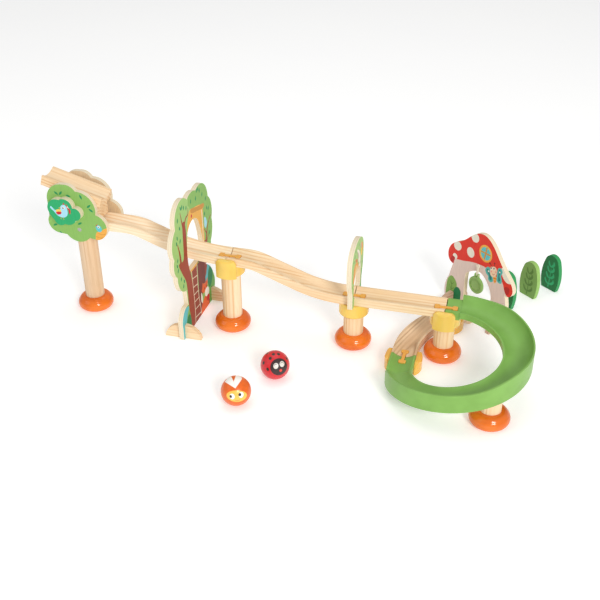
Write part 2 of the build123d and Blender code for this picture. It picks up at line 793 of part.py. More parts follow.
TREE_OPENING = [
    ((-25.6, 140.0), (-18.6, 173.5)),
    ((4.5, 186.4), (28.6, 173.5)),
    ((40.2, 141.0), (41.0, 105.0)),
    (None, TREE_OPENING_START),
]
with BuildPart() as tree_panel:
    with BuildSketch(TREE_FACE):
        with BuildLine():
            lobed_outline(TREE_START, TREE_LOBES)
        make_face()
        with BuildLine():
            lobed_outline(TREE_OPENING_START, TREE_OPENING)
        make_face(mode=Mode.SUBTRACT)
        lap_notches(TREE_LAP, TREE_FEET_Y[0])
    extrude(amount=-PLY)
save(tree_panel.part, "tree_panel")

for side_name, foot_y in zip(("front", "rear"), TREE_FEET_Y):
    cross_plane = Plane(origin=(TREE_X - PLY / 2, foot_y, 0), x_dir=(1, 0, 0), z_dir=(0, -1, 0))
    save(build_cross_foot(cross_plane, TREE_CROSS_H, TREE_LAP), f"tree_cross_foot_{side_name}")

ARCH_FOOT_Z = TOP_LOWER - TRACK_T
with BuildPart() as rabbit_arch:
    with BuildSketch(ARCH_FACE):
        with BuildLine():
            Spline(
                (32, ARCH_FOOT_Z + 20), (39.5, 122), (43, 148), (41.5, 164), (32, 178), (15, 186), (0, 187.8),
                tangents=[(0, 1), (-1, 0)],
            )
            Polyline(
                (32, ARCH_FOOT_Z + 20), (32, ARCH_FOOT_Z), (CHEEK_IN, ARCH_FOOT_Z),
                (CHEEK_IN, TOP_LOWER + 1), (25, TOP_LOWER + 4), (25, 116),
            )
            ThreePointArc((25, 116), (18, 133), (0, 140))
            mirror(about=Plane.YZ)
        make_face()
    extrude(amount=-PLY)
save(rabbit_arch.part, "rabbit_arch")

with BuildPart() as mushroom_panel:
    with BuildSketch(exit_face(MUSHROOM_S, MUSHROOM_Q)):
        with BuildLine():
            Spline(
                (-66, 71), (-76.5, 76.5), (-79.5, 90), (-70, 108.4), (-48, 122.5), (-20, 146.5), (0, 152.6),
                (20, 142.5), (36, 124.5), (53, 106), (67, 92.5), (72, 77), (64, 67), (56, 70),
            )
            Line((56, 70), (61, 48))
            Line((61, 48), (63, 0))
            Line((63, 0), (28, 0))
            Line((28, 0), (28, 42))
            Spline((28, 42), (20, 66), (-5, 82.5), (-29, 71), (-35, 42), tangents=[(0, 1), (0, -1)])
            Line((-35, 42), (-35, 0))
            Line((-35, 0), (-79, 0))
            ThreePointArc((-79, 0), (-80.8, 24), (-74, 43))
            Line((-74, 43), (-66, 71))
        make_face()
        with Locations((BELL_Q, BELL_HOLE_Z)):
            Circle(2.5, mode=Mode.SUBTRACT)
        lap_notches(MUSHROOM_LAP, *MUSHROOM_FEET_Q)
    extrude(amount=-PLY)
save(mushroom_panel.part, "mushroom_panel")

for side_name, foot_q in zip(("left", "right"), MUSHROOM_FEET_Q):
    foot_x, foot_y = exit_point(MUSHROOM_S + PLY / 2, MUSHROOM_Q + foot_q)
    cross_plane = Plane(origin=(foot_x, foot_y, 0), x_dir=RAMP_SIDE.x_dir, z_dir=RAMP_SIDE.z_dir)
    save(build_cross_foot(cross_plane, MUSHROOM_CROSS_H, MUSHROOM_LAP), f"mushroom_cross_foot_{side_name}")


# ---------------------------------------------------------------- bell

bell_at = exit_point(MUSHROOM_S - BELL_OUT, MUSHROOM_Q + BELL_Q)
bell_front = exit_face(MUSHROOM_S - BELL_OUT, MUSHROOM_Q + BELL_Q)
bell_side = Plane(origin=(*bell_at, 0), x_dir=RAMP_SIDE.x_dir, z_dir=RAMP_SIDE.z_dir)
ARM_T = 2.6
ARM_W = 3.0
EAR_T = 2.2
EAR_AT = ARM_W / 2 + 0.3
with BuildPart() as bell_hook:
    with BuildSketch(bell_front.offset(-ARM_T / 2)):
        with Locations((0, (BELL_HOLE_Z + BELL_PIN_Z) / 2)):
            SlotCenterToCenter(BELL_HOLE_Z - BELL_PIN_Z, ARM_W, rotation=90)
        with Locations((0, BELL_HOLE_Z)):
            Circle(3.6)
    extrude(amount=ARM_T)
    with BuildSketch(bell_front):
        with Locations((0, BELL_HOLE_Z)):
            Circle(2.4)
    extrude(amount=-BELL_OUT - PLY - 0.2)
    with BuildSketch(bell_front.offset(-BELL_OUT - PLY - 0.2)):
        with Locations((0, BELL_HOLE_Z)):
            Circle(3.6)
    extrude(amount=-1.6)
    with BuildSketch(bell_side):
        with Locations((0, BELL_PIN_Z)):
            Circle(BELL_PIN_R)
    extrude(amount=EAR_AT + EAR_T + 0.8, both=True)
save(bell_hook.part, "bell_hook")

with BuildPart() as bell_disc:
    with BuildSketch(bell_front.offset(-BELL_T / 2)):
        with Locations((0, BELL_Z)):
            Circle(BELL_R)
    extrude(amount=BELL_T)
    fillet(bell_disc.edges().filter_by(GeomType.CIRCLE), 1.2)
    for face_out in (BELL_T / 2, -BELL_T / 2):
        with BuildSketch(bell_front.offset(face_out)):
            with Locations((0, BELL_Z)):
                Circle(11.5)
                Circle(9.0, mode=Mode.SUBTRACT)
        extrude(amount=-0.8 if face_out > 0 else 0.8, mode=Mode.SUBTRACT)
    for ear_side in (1, -1):
        with BuildSketch(bell_side.offset(ear_side * EAR_AT)):
            with Locations((0, BELL_PIN_Z)):
                Circle(BELL_PIN_R + 1.6)
            with Locations((0, (BELL_PIN_Z + BELL_Z + BELL_R) / 2 - 1)):
                Rectangle(2 * (BELL_PIN_R + 1.2), BELL_PIN_Z - BELL_Z - BELL_R + 2)
            with Locations((0, BELL_PIN_Z)):
                Circle(BELL_PIN_R + 0.08, mode=Mode.SUBTRACT)
        extrude(amount=ear_side * EAR_T)
save(bell_disc.part, "bell_disc")


# ---------------------------------------------------------------- leaf dominoes and balls


def build_leaf(along, across):
    """Standing leaf: flat bottom, bowed sides, round top."""
    with BuildPart() as leaf:
        with BuildSketch(exit_face(along - LEAF_T / 2, across)):
            with BuildLine():
                ThreePointArc((15.5, 0), (19.4, 32), (14.5, 55))
                ThreePointArc((14.5, 55), (0, LEAF_H), (-14.5, 55))
                ThreePointArc((-14.5, 55), (-19.4, 32), (-15.5, 0))
                Line((-15.5, 0), (15.5, 0))
            make_face()
        extrude(amount=-LEAF_T)
    return leaf.part


for leaf_name, (leaf_along, leaf_across) in LEAVES.items():
    save(build_leaf(leaf_along, leaf_across), leaf_name)

for ball_name, (ball_x, ball_y) in BALLS.items():
    with BuildPart() as ball:
        with BuildSketch(Plane(origin=(ball_x, ball_y, BALL_R), x_dir=(1, 0, 0), z_dir=(0, -1, 0))):
            with BuildLine():
                CenterArc((0, 0), BALL_R, -90, 180)
                Line((0, -BALL_R), (0, BALL_R))
            make_face()
        revolve(axis=Axis((ball_x, ball_y, 0), (0, 0, 1)))
    save(ball.part, ball_name)
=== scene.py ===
"""Looks for the wooden marble run: materials, printed artwork, painted balls, floor, light and camera.

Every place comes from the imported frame. Lengths in the artwork are millimetres on a panel's own face.
"""
import math
import bpy
from mathutils import Matrix, Vector
from mathutils.geometry import delaunay_2d_cdt


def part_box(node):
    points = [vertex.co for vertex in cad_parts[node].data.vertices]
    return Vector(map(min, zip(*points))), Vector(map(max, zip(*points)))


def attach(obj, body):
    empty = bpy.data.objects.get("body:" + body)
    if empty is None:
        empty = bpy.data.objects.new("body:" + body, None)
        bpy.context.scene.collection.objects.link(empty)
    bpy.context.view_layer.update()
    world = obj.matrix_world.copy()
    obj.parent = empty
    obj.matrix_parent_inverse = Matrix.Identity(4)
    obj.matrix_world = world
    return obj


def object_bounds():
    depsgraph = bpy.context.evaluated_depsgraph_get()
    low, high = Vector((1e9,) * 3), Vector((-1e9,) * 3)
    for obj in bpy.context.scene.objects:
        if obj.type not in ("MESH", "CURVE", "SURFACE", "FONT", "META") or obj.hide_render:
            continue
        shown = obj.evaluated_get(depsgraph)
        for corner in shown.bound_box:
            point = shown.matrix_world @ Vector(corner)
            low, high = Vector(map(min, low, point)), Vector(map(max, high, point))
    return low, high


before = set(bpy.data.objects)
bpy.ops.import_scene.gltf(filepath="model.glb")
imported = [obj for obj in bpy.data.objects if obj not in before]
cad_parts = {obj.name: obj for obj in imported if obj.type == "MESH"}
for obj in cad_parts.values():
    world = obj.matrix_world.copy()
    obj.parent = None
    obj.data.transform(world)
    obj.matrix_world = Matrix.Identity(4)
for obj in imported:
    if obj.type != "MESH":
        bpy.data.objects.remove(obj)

cad_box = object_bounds()

MM = 0.001
X_AXIS = Vector((1, 0, 0))
Y_AXIS = Vector((0, 1, 0))
Z_AXIS = Vector((0, 0, 1))
EXIT_TURN = math.radians(50.0)  # heading of the exit line from +X
ALONG = Vector((math.cos(EXIT_TURN), math.sin(EXIT_TURN), 0))
ACROSS = Vector((math.sin(EXIT_TURN), -math.cos(EXIT_TURN), 0))


def srgb(red, green, blue):
    """Scene-linear colour of an 8-bit screen colour."""

    def linear(c):
        c /= 255.0
        return c / 12.92 if c <= 0.04045 else ((c + 0.055) / 1.055) ** 2.4

    return (linear(red), linear(green), linear(blue), 1.0)


def shaded(rgb, part):
    """The scene-linear colour of rgb with each channel at this part of its value."""
    return srgb(*(part * c for c in rgb))


# ---------------------------------------------------------------- materials

RING_STRETCH = 16.0  # marks in the wood are drawn out this many times along the grain
FIBRE_STRETCH = 40.0
VENEER_STRETCH = 24.0
PRINT_STRETCH = 22.0
WAVE_RATE = 20.0  # radians in each unit of the wave texture
LAYER_PAIRS = 2.5  # pairs of a light and a tan layer through a plywood panel
PLY_FACE = (238, 212, 172)
PLY_EDGE = (238, 223, 194)
# painted shade: the keys are the cups' own yellow plastic, drawn in this deeper orange
KEY_SHADE_ORANGE = (240, 174, 74)
PEEL = 420.0  # fine marks in each metre: on moulded skin, in plywood layers and in print
SPECKS = 900.0
DOTS = 1100.0


class Shade:
    """One node material, with short calls for the nodes that the looks need."""

    def __init__(self, name):
        self.mat = bpy.data.materials.new(name)
        self.mat.use_nodes = True
        self.tree = self.mat.node_tree
        self.bsdf = self.tree.nodes["Principled BSDF"]
        coords = self.tree.nodes.new("ShaderNodeTexCoord")
        self.place = coords.outputs["Object"]
        self.normal = coords.outputs["Normal"]

    def put(self, socket, value):
        if isinstance(value, bpy.types.NodeSocket):
            self.tree.links.new(value, socket)
        else:
            socket.default_value = value

    def node(self, kind, **settings):
        made = self.tree.nodes.new("ShaderNode" + kind)
        for key, value in settings.items():
            setattr(made, key, value)
        return made

    def math(self, operation, a, b=0.0, c=0.0, clamp=False):
        made = self.node("Math", operation=operation, use_clamp=clamp)
        for socket, value in zip(made.inputs, (a, b, c)):
            self.put(socket, value)
        return made.outputs[0]

    def dot(self, vector, axis):
        made = self.node("VectorMath", operation="DOT_PRODUCT")
        self.put(made.inputs[0], vector)
        self.put(made.inputs[1], axis)
        return made.outputs["Value"]

    def vector(self, operation, a, b):
        made = self.node("VectorMath", operation=operation)
        self.put(made.inputs[0], a)
        self.put(made.inputs[1], b)
        return made.outputs[0]

    def local(self, centre, axis, stretch):
        """Millimetre coordinates about centre with X along axis, and X shortened stretch times."""
        turn = X_AXIS.rotation_difference(axis).to_euler()
        made = self.node("Mapping", vector_type="TEXTURE")
        self.put(made.inputs["Vector"], self.place)
        made.inputs["Location"].default_value = centre
        made.inputs["Rotation"].default_value = turn
        made.inputs["Scale"].default_value = (MM * stretch, MM, MM)
        return made.outputs[0]

    def grid(self, count):
        """The place, with this many units in a metre."""
        return self.vector("MULTIPLY", self.place, (count, count, count))

    def facing_along(self, axis):
        """1 on faces square to axis, 0 on the edges between them."""
        return self.step(self.math("ABSOLUTE", self.dot(self.normal, axis)), 0.55, 0.8)

    def noise(self, vector, scale, detail=2.0, roughness=0.5):
        made = self.node("TexNoise")
        self.put(made.inputs["Vector"], vector)
        made.inputs["Scale"].default_value = scale
        made.inputs["Detail"].default_value = detail
        made.inputs["Roughness"].default_value = roughness
        return made.outputs["Fac"]

    def ramp(self, factor, stops):
        """Colours at places from 0 to 1, with eased steps between them."""
        made = self.node("ValToRGB")
        made.color_ramp.interpolation = "EASE"
        points = made.color_ramp.elements
        while len(points) < len(stops):
            points.new(0.5)
        for point, (at, colour) in zip(points, stops):
            point.position = at
            point.color = colour
        self.put(made.inputs["Fac"], factor)
        return made.outputs["Color"]

    def mix(self, factor, a, b, blend="MIX"):
        made = self.node("Mix", data_type="RGBA", blend_type=blend)
        self.put(made.inputs[0], factor)
        self.put(made.inputs[6], a)
        self.put(made.inputs[7], b)
        return made.outputs[2]

    def step(self, value, low, high):
        """0 below low, 1 above high, smooth between."""
        made = self.node("MapRange", interpolation_type="SMOOTHSTEP")
        self.put(made.inputs["Value"], value)
        made.inputs["From Min"].default_value = low
        made.inputs["From Max"].default_value = high
        return made.outputs["Result"]

    def bump(self, height, strength, distance):
        made = self.node("Bump")
        made.inputs["Strength"].default_value = strength
        made.inputs["Distance"].default_value = distance
        self.put(made.inputs["Height"], height)
        self.put(self.bsdf.inputs["Normal"], made.outputs[0])

    def colour(self, value):
        self.put(self.bsdf.inputs["Base Color"], value)

    def finish(self, **sockets):
        for key, value in sockets.items():
            self.put(self.bsdf.inputs[key.replace("_", " ")], value)


def pine(name, centre, axis, seed, ring=5.2, light=(250, 229, 196), dark=(230, 188, 138)):
    """Pine with the grain along axis: growth rings, ring millimetres apart, fibres, a slow change of tone."""
    s = Shade(name)
    centre = Vector(centre)
    along = s.local(centre, axis, RING_STRETCH)
    pith = Vector((7.0 * seed, -24.0 - 5.0 * (seed % 3), -46.0 - 4.0 * (seed % 4)))
    shifted = s.vector("SUBTRACT", along, pith)
    rings = s.node("TexWave", wave_type="RINGS", rings_direction="X", wave_profile="SAW")
    s.put(rings.inputs["Vector"], shifted)
    rings.inputs["Scale"].default_value = 2 * math.pi / (WAVE_RATE * ring)
    rings.inputs["Distortion"].default_value = 3.6
    rings.inputs["Detail"].default_value = 1.0
    rings.inputs["Detail Scale"].default_value = 0.35
    early = srgb(*light)
    late = srgb(*dark)
    middle = tuple(0.5 * a + 0.5 * b for a, b in zip(early, late))
    stops = ((0.0, middle), (0.2, early), (0.5, early), (0.86, late), (1.0, middle))
    colour = s.ramp(rings.outputs["Fac"], stops)
    fade = s.noise(s.vector("ADD", along, (19.0 * seed, 0, 9.0)), 0.09, 1.0)
    plain = tuple(0.75 * a + 0.25 * b for a, b in zip(early, late))
    colour = s.mix(s.step(fade, 0.35, 0.7), colour, plain)
    thread = s.vector("ADD", s.local(centre, axis, FIBRE_STRETCH), (31.0 * seed, 0, 0))
    fibre = s.noise(thread, 1.6, 3.0, 0.6)
    colour = s.mix(s.math("MULTIPLY", s.step(fibre, 0.48, 0.8), 0.6), colour, shaded(dark, 0.96))
    tone = s.noise(s.vector("ADD", along, (0, 13.0 * seed, 5.0)), 0.05, 1.0)
    shade = s.mix(s.step(tone, 0.3, 0.75), srgb(255, 253, 250), srgb(247, 236, 222))
    s.colour(s.mix(1.0, colour, shade, "MULTIPLY"))
    s.put(s.bsdf.inputs["Roughness"], s.math("MULTIPLY_ADD", fibre, 0.16, 0.46))
    s.finish(Specular_IOR_Level=0.28)
    s.bump(s.math("MULTIPLY_ADD", fibre, 0.7, rings.outputs["Fac"]), 0.16, 0.0002)
    return s.mat


def ply(name, centre, axis, thickness, seed):
    """Birch plywood, its grain upright: bare faces square to axis, and thin layers along the edges."""
    s = Shade(name)
    centre = Vector(centre)
    upright = s.local(centre, Z_AXIS, VENEER_STRETCH)
    fibre = s.noise(s.vector("ADD", upright, (17.0 * seed, 3.0, 0)), 1.3, 3.0, 0.6)
    blotch = s.noise(s.local(centre, Z_AXIS, 3.0), 0.05 + 0.004 * seed, 1.0)
    bare = s.mix(s.step(fibre, 0.38, 0.72), shaded(PLY_FACE, 1.0), shaded(PLY_FACE, 0.90))
    bare = s.mix(s.step(blotch, 0.45, 0.75), bare, shaded(PLY_FACE, 0.94))
    depth = s.dot(s.vector("SUBTRACT", s.place, centre), axis)
    layer = s.math("FRACT", s.math("MULTIPLY_ADD", depth, LAYER_PAIRS / thickness, 10.25))
    light = shaded(PLY_EDGE, 1.0)
    tan = shaded(PLY_EDGE, 0.95)
    glue = shaded(PLY_EDGE, 0.82)
    stops = ((0.0, glue), (0.05, light), (0.47, light), (0.53, glue), (0.58, tan), (0.97, tan))
    speck = s.noise(s.grid(SPECKS), 1.0, 2.0)
    stripes = s.mix(s.step(speck, 0.35, 0.8), s.ramp(layer, stops), light)
    s.colour(s.mix(s.facing_along(axis), stripes, bare))
    s.finish(Roughness=0.6, Specular_IOR_Level=0.25)
    s.bump(s.math("ADD", fibre, s.math("MULTIPLY", layer, 0.35)), 0.2, 0.00018)
    return s.mat


def paint(name, rgb, edge=None, axis=X_AXIS):
    """Matt paint or print with upright grain faintly in it. Faces not square to axis take the lighter edge
    colour, painted light: a lit copy of the same paint.
    """
    s = Shade(name)
    fibre = s.noise(s.local(Vector((0, 0, 0)), Z_AXIS, PRINT_STRETCH), 1.1, 3.0, 0.6)
    dots = s.noise(s.grid(DOTS), 1.0, 1.0)
    base = srgb(*rgb)
    # painted light: the edges get a lit copy of the paint, and the faces keep a shaded copy
    if edge:
        base = s.mix(s.facing_along(axis), srgb(*edge), base)
    colour = s.mix(s.math("MULTIPLY", s.step(fibre, 0.4, 0.8), 0.5), base, shaded(rgb, 0.86))
    faded = srgb(*(255 - 0.92 * (255 - c) for c in rgb))
    s.colour(s.mix(s.math("MULTIPLY", s.step(dots, 0.45, 0.8), 0.35), colour, faded))
    s.put(s.bsdf.inputs["Roughness"], s.math("MULTIPLY_ADD", fibre, 0.12, 0.5))
    s.finish(Specular_IOR_Level=0.26)
    s.bump(fibre, 0.1, 0.0002)
    return s.mat


def plastic(name, rgb, roughness, glow=None, gloss=0.35):
    """Moulded plastic or lacquer: a slight orange-peel skin, slow drifts to glow, faint handling marks."""
    s = Shade(name)
    peel = s.noise(s.grid(PEEL), 1.0, 2.0)
    slow = s.noise(s.vector("MULTIPLY", s.place, (26.0, 26.0, 34.0)), 1.0, 2.0)
    rub = s.noise(s.vector("MULTIPLY", s.place, (90.0, 520.0, 520.0)), 1.0, 4.0, 0.7)
    s.colour(s.mix(s.step(slow, 0.3, 0.7), shaded(rgb, 0.97), srgb(*(glow or rgb))))
    s.put(s.bsdf.inputs["Roughness"], s.math("MULTIPLY_ADD", s.step(rub, 0.45, 0.8), 0.14, roughness))
    s.finish(Specular_IOR_Level=gloss)
    s.bump(peel, 0.08, 0.0002)
    return s.mat


def keyed(name, centre, across, level, half, rgb):
    """Yellow plastic, drawn deeper orange above level and within half of centre along across, on the keys
    over the joints: painted shade on the same translucent plastic.
    """
    s = Shade(name)
    peel = s.noise(s.grid(PEEL), 1.0, 2.0)
    slow = s.noise(s.grid(40.0), 1.0, 2.0)
    cup = s.mix(s.step(slow, 0.3, 0.7), shaded(rgb, 0.97), srgb(*rgb))
    aside = s.math("ABSOLUTE", s.dot(s.vector("SUBTRACT", s.place, centre), across))
    height = s.dot(s.place, Z_AXIS)
    key = s.math("MULTIPLY", s.step(aside, half * MM, 0.8 * half * MM), s.step(height, level, level + MM))
    # painted shade: the keys are drawn deeper orange, though they are the cup's own yellow plastic
    s.colour(s.mix(key, cup, srgb(*KEY_SHADE_ORANGE)))
    s.put(s.bsdf.inputs["Roughness"], s.math("MULTIPLY_ADD", slow, 0.1, 0.14))
    s.finish(Specular_IOR_Level=0.45, Subsurface_Weight=0.1, Subsurface_Scale=0.004)
    s.bump(peel, 0.08, 0.0002)
    return s.mat


def metal(name):
    """Bright steel with fine turning marks."""
    s = Shade(name)
    turned = s.noise(s.vector("MULTIPLY", s.place, (700.0, 3000.0, 700.0)), 1.0, 2.0)
    s.colour(s.ramp(turned, ((0.3, srgb(150, 148, 145)), (0.7, srgb(196, 194, 190)))))
    s.put(s.bsdf.inputs["Roughness"], s.math("MULTIPLY_ADD", turned, 0.2, 0.22))
    s.finish(Metallic=1.0)
    s.bump(turned, 0.15, 0.0001)
    return s.mat


# ---------------------------------------------------------------- outlines of the artwork


def counter_clockwise(points):
    """The outline in the order that keeps its inside on the left."""
    area = sum(a[0] * b[1] - b[0] * a[1] for a, b in zip(points, points[1:] + points[:1]))
    return points if area > 0 else points[::-1]


def polygon(*points):
    return counter_clockwise(list(points))


def between(p0, p1, p2, p3, t):
    """Point at t from p1 to p2 on the smooth curve through all four."""
    a = (2 * p1[i] for i in (0, 1))
    b = ((p2[i] - p0[i]) * t for i in (0, 1))
    c = ((2 * p0[i] - 5 * p1[i] + 4 * p2[i] - p3[i]) * t**2 for i in (0, 1))
    d = ((3 * p1[i] - p0[i] - 3 * p2[i] + p3[i]) * t**3 for i in (0, 1))
    return tuple(0.5 * (e + f + g + h) for e, f, g, h in zip(a, b, c, d))


def blob(*points, steps=5):
    """A smooth closed outline through the points."""
    n = len(points)
    out = []
    for i in range(n):
        four = [points[(i + k - 1) % n] for k in range(4)]
        out += [between(*four, j / steps) for j in range(steps)]
    return counter_clockwise(out)


ELLIPSE_POINTS = 26
RIBBON_STEPS = 4  # points that a band has for each one given


def ellipse(u, v, half_u, half_v, turn=0.0):
    c, s = math.cos(math.radians(turn)), math.sin(math.radians(turn))
    out = []
    for i in range(ELLIPSE_POINTS):
        a = 2 * math.pi * i / ELLIPSE_POINTS
        p, q = half_u * math.cos(a), half_v * math.sin(a)
        out.append((u + p * c - q * s, v + p * s + q * c))
    return out


def ribbon(points, widths):
    """A smooth band along the points. widths is one width, or one for each point."""
    if not isinstance(widths, (list, tuple)):
        widths = [widths] * len(points)
    line = []
    n = len(points)
    for i in range(n - 1):
        four = [points[max(i - 1, 0)], points[i], points[i + 1], points[min(i + 2, n - 1)]]
        for j in range(RIBBON_STEPS):
            t = j / RIBBON_STEPS
            line.append((between(*four, t), widths[i] * (1 - t) + widths[i + 1] * t))
    line.append((points[-1], widths[-1]))
    left, right = [], []
    for k, (p, w) in enumerate(line):
        a = line[max(k - 1, 0)][0]
        b = line[min(k + 1, len(line) - 1)][0]
        length = math.hypot(b[0] - a[0], b[1] - a[1]) or 1.0
        nu, nv = -(b[1] - a[1]) / length, (b[0] - a[0]) / length
        left.append((p[0] + nu * w / 2, p[1] + nv * w / 2))
        right.append((p[0] - nu * w / 2, p[1] - nv * w / 2))
    return counter_clockwise(left + right[::-1])


def leaf(u, v, length, width, turn):
    """A small leaf mark with a point at each end, its long axis turned from +u."""
    c, s = math.cos(math.radians(turn)), math.sin(math.radians(turn))
    out = []
    for side in (1, -1):
        for i in range(6):
            t = i / 6
            p = side * length * (t - 0.5)
            q = -side * width / 2 * math.sin(math.pi * t)
            out.append((u + p * c - q * s, v + p * s + q * c))
    return counter_clockwise(out)


INKS = {}


def ink(name, rgb):
    """One printed colour, made once and shared by every sheet."""
    if name not in INKS:
        INKS[name] = paint("ink_" + name, rgb)
    return INKS[name]


LIFT = 0.06  # the print's skin stands this far in front of the panel face, in millimetres
SUNK = 0.03  # and its back lies this far inside the panel
SQUARE_ON = 0.999  # a triangle faces the same way as the print above this cosine
ON_FACE = 0.05  # and lies in the same face within this many millimetres


def inside(u, v, segments):
    """True where a line from (u, v) to the right crosses the closed outline an odd number of times."""
    odd = False
    for (au, av), (bu, bv) in segments:
        if (av > v) != (bv > v) and u < au + (v - av) / (bv - av) * (bu - au):
            odd = not odd
    return odd


def face_outline(node, origin, right, up):
    """The border segments, in millimetres, of the node's flat face through origin."""
    out_of_face = right.cross(up)
    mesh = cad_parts[node].data
    mesh.calc_loop_triangles()
    borders = {}
    for tri in mesh.loop_triangles:
        corners = [mesh.vertices[i].co - origin for i in tri.vertices]
        away = abs(corners[0].dot(out_of_face))
        if tri.normal.dot(out_of_face) < SQUARE_ON or away > ON_FACE * MM:
            continue
        flat = [(round(c.dot(right) / MM, 3), round(c.dot(up) / MM, 3)) for c in corners]
        for a, b in zip(flat, flat[1:] + flat[:1]):
            if (b, a) in borders:
                del borders[(b, a)]
            elif a != b:
                borders[(a, b)] = True
    return list(borders)


def print_sheet(name, node, body, origin, right, up, base, shapes):
    """The printed skin on one flat face of a CAD node, cut along the outlines of its coloured shapes."""
    out_of_face = right.cross(up)
    border = face_outline(node, origin, right, up)
    loops = [(None, border)]
    loops += [(colour, list(zip(outline, outline[1:] + outline[:1]))) for colour, outline in shapes]
    points, edges = [], []
    for _, segments in loops:
        for a, b in segments:
            edges.append((len(points), len(points) + 1))
            points += [Vector(a), Vector(b)]
    flat, _, cells, _, _, _ = delaunay_2d_cdt(points, edges, [], 0, 1e-3)
    spans = [
        (colour, segments, *(f(a[k] for a, _ in segments) for k in (0, 1) for f in (min, max)))
        for colour, segments in loops[1:]
    ]
    kept, colours = [], []
    for cell in cells:
        u = sum(flat[i].x for i in cell) / len(cell)
        v = sum(flat[i].y for i in cell) / len(cell)
        if not inside(u, v, border):
            continue
        top = base
        for colour, segments, low_u, high_u, low_v, high_v in spans:
            if low_u < u < high_u and low_v < v < high_v and inside(u, v, segments):
                top = colour
        kept.append(cell)
        colours.append(top)
    number = {i: k for k, i in enumerate(sorted({i for cell in kept for i in cell}))}
    count = len(number)

    def level(height):
        return [origin + (flat[i].x * right + flat[i].y * up + height * out_of_face) * MM for i in number]

    front = [[number[i] for i in cell] for cell in kept]
    rims = {(a, b): k for k, poly in enumerate(front) for a, b in zip(poly, poly[1:] + poly[:1])}
    open_rims = [(a, b, k) for (a, b), k in rims.items() if (b, a) not in rims]
    back = [[i + count for i in poly[::-1]] for poly in front]
    sides = [[b, a, a + count, b + count] for a, b, _ in open_rims]
    data = bpy.data.meshes.new(name)
    data.from_pydata(level(LIFT) + level(-SUNK), [], front + back + sides)
    used = list(dict.fromkeys(colours))
    for colour in used:
        data.materials.append(colour)
    slots = [used.index(colour) for colour in colours]
    data.polygons.foreach_set("material_index", slots + slots + [slots[k] for _, _, k in open_rims])
    data.update()
    sheet = bpy.data.objects.new(name, data)
    bpy.context.scene.collection.objects.link(sheet)
    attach(sheet, body)
    return sheet


# ---------------------------------------------------------------- carried-over CAD nodes


def dress(node, material):
    """Gives a CAD node this one material."""
    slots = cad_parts[node].data.materials
    slots.clear()
    slots.append(material)


def middle_of(node):
    low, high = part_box(node)
    return (low + high) / 2


CURVE_TURN = math.radians(20.0)  # heading of the curved track's middle, from +Y towards +X
CHUTE_TILT = math.radians(16.3)
GRAIN_FALL = 0.11  # the grain of the two sloping tracks falls this far in each metre
curve_axis = Vector((math.sin(CURVE_TURN), math.cos(CURVE_TURN), 0))
curve_across = Vector((math.cos(CURVE_TURN), -math.sin(CURVE_TURN), 0))
slope_axis = Vector((1, 0, -GRAIN_FALL)).normalized()
chute_axis = Vector((math.cos(CHUTE_TILT), 0, -math.sin(CHUTE_TILT)))
PINE_PIECES = {
    "start_tower_post": Z_AXIS,
    "tree_tower_post": Z_AXIS,
    "rabbit_tower_post": Z_AXIS,
    "spiral_tower_post": Z_AXIS,
    "spiral_prop_post": Z_AXIS,
    "upper_track": slope_axis,
    "middle_track": slope_axis,
    "straight_track": X_AXIS,
    "curved_track": curve_axis,
    "exit_ramp": ALONG,
    "start_chute": chute_axis,
    "head_block": X_AXIS,
    "tree_cross_foot_front": X_AXIS,
    "tree_cross_foot_rear": X_AXIS,
}
# painted shadow: the curved track and the exit ramp are drawn in darker pine for the shadow of the track and
# spiral above them
CAST_SHADOW_PINE = {"light": (240, 217, 186), "dark": (200, 167, 132)}
# painted light: the upper track is drawn paler to lift the shade of the treetop and tree panel over it
PAINTED_LIGHT_PINE = {"light": (255, 240, 214), "dark": (242, 208, 166)}
# painted shade: the start tower post is drawn darker to tone down the light on it
PAINTED_SHADE_POST_PINE = {"light": (234, 211, 182), "dark": (210, 174, 138)}
PINE_TINTS = {
    "curved_track": CAST_SHADOW_PINE,
    "exit_ramp": CAST_SHADOW_PINE,
    "upper_track": PAINTED_LIGHT_PINE,
    "start_tower_post": PAINTED_SHADE_POST_PINE,
}
for number, (node, axis) in enumerate(PINE_PIECES.items()):
    dress(node, pine("pine_" + node, middle_of(node), axis, number + 1, **PINE_TINTS.get(node, {})))
dress("head_dowels", pine("dowel_wood", middle_of("head_dowels"), Y_AXIS, 17, 2.0))
# painted shade: the mushroom's cross feet are drawn in darker, browner pine for the shade they stand in
FOOT_SHADE_PINE = {"light": (216, 188, 168), "dark": (190, 152, 130)}
for number, node in enumerate(("mushroom_cross_foot_left", "mushroom_cross_foot_right")):
    dress(node, pine("shade_painted_" + node, middle_of(node), ALONG, number + 20, **FOOT_SHADE_PINE))

orange = plastic("orange_gloss", (226, 104, 20), 0.12, (240, 124, 34), gloss=0.5)
for tower in ("start_tower", "tree_tower", "rabbit_tower", "spiral_tower", "spiral_prop"):
    dress(tower + "_foot", orange)
KEY_HALF = 9.0  # half the width of a joint's key, with room around it, in millimetres
KEY_DEPTH = 12.0  # the keys lie less than this far under the connector's top, in millimetres
CUP_YELLOW = (244, 205, 100)
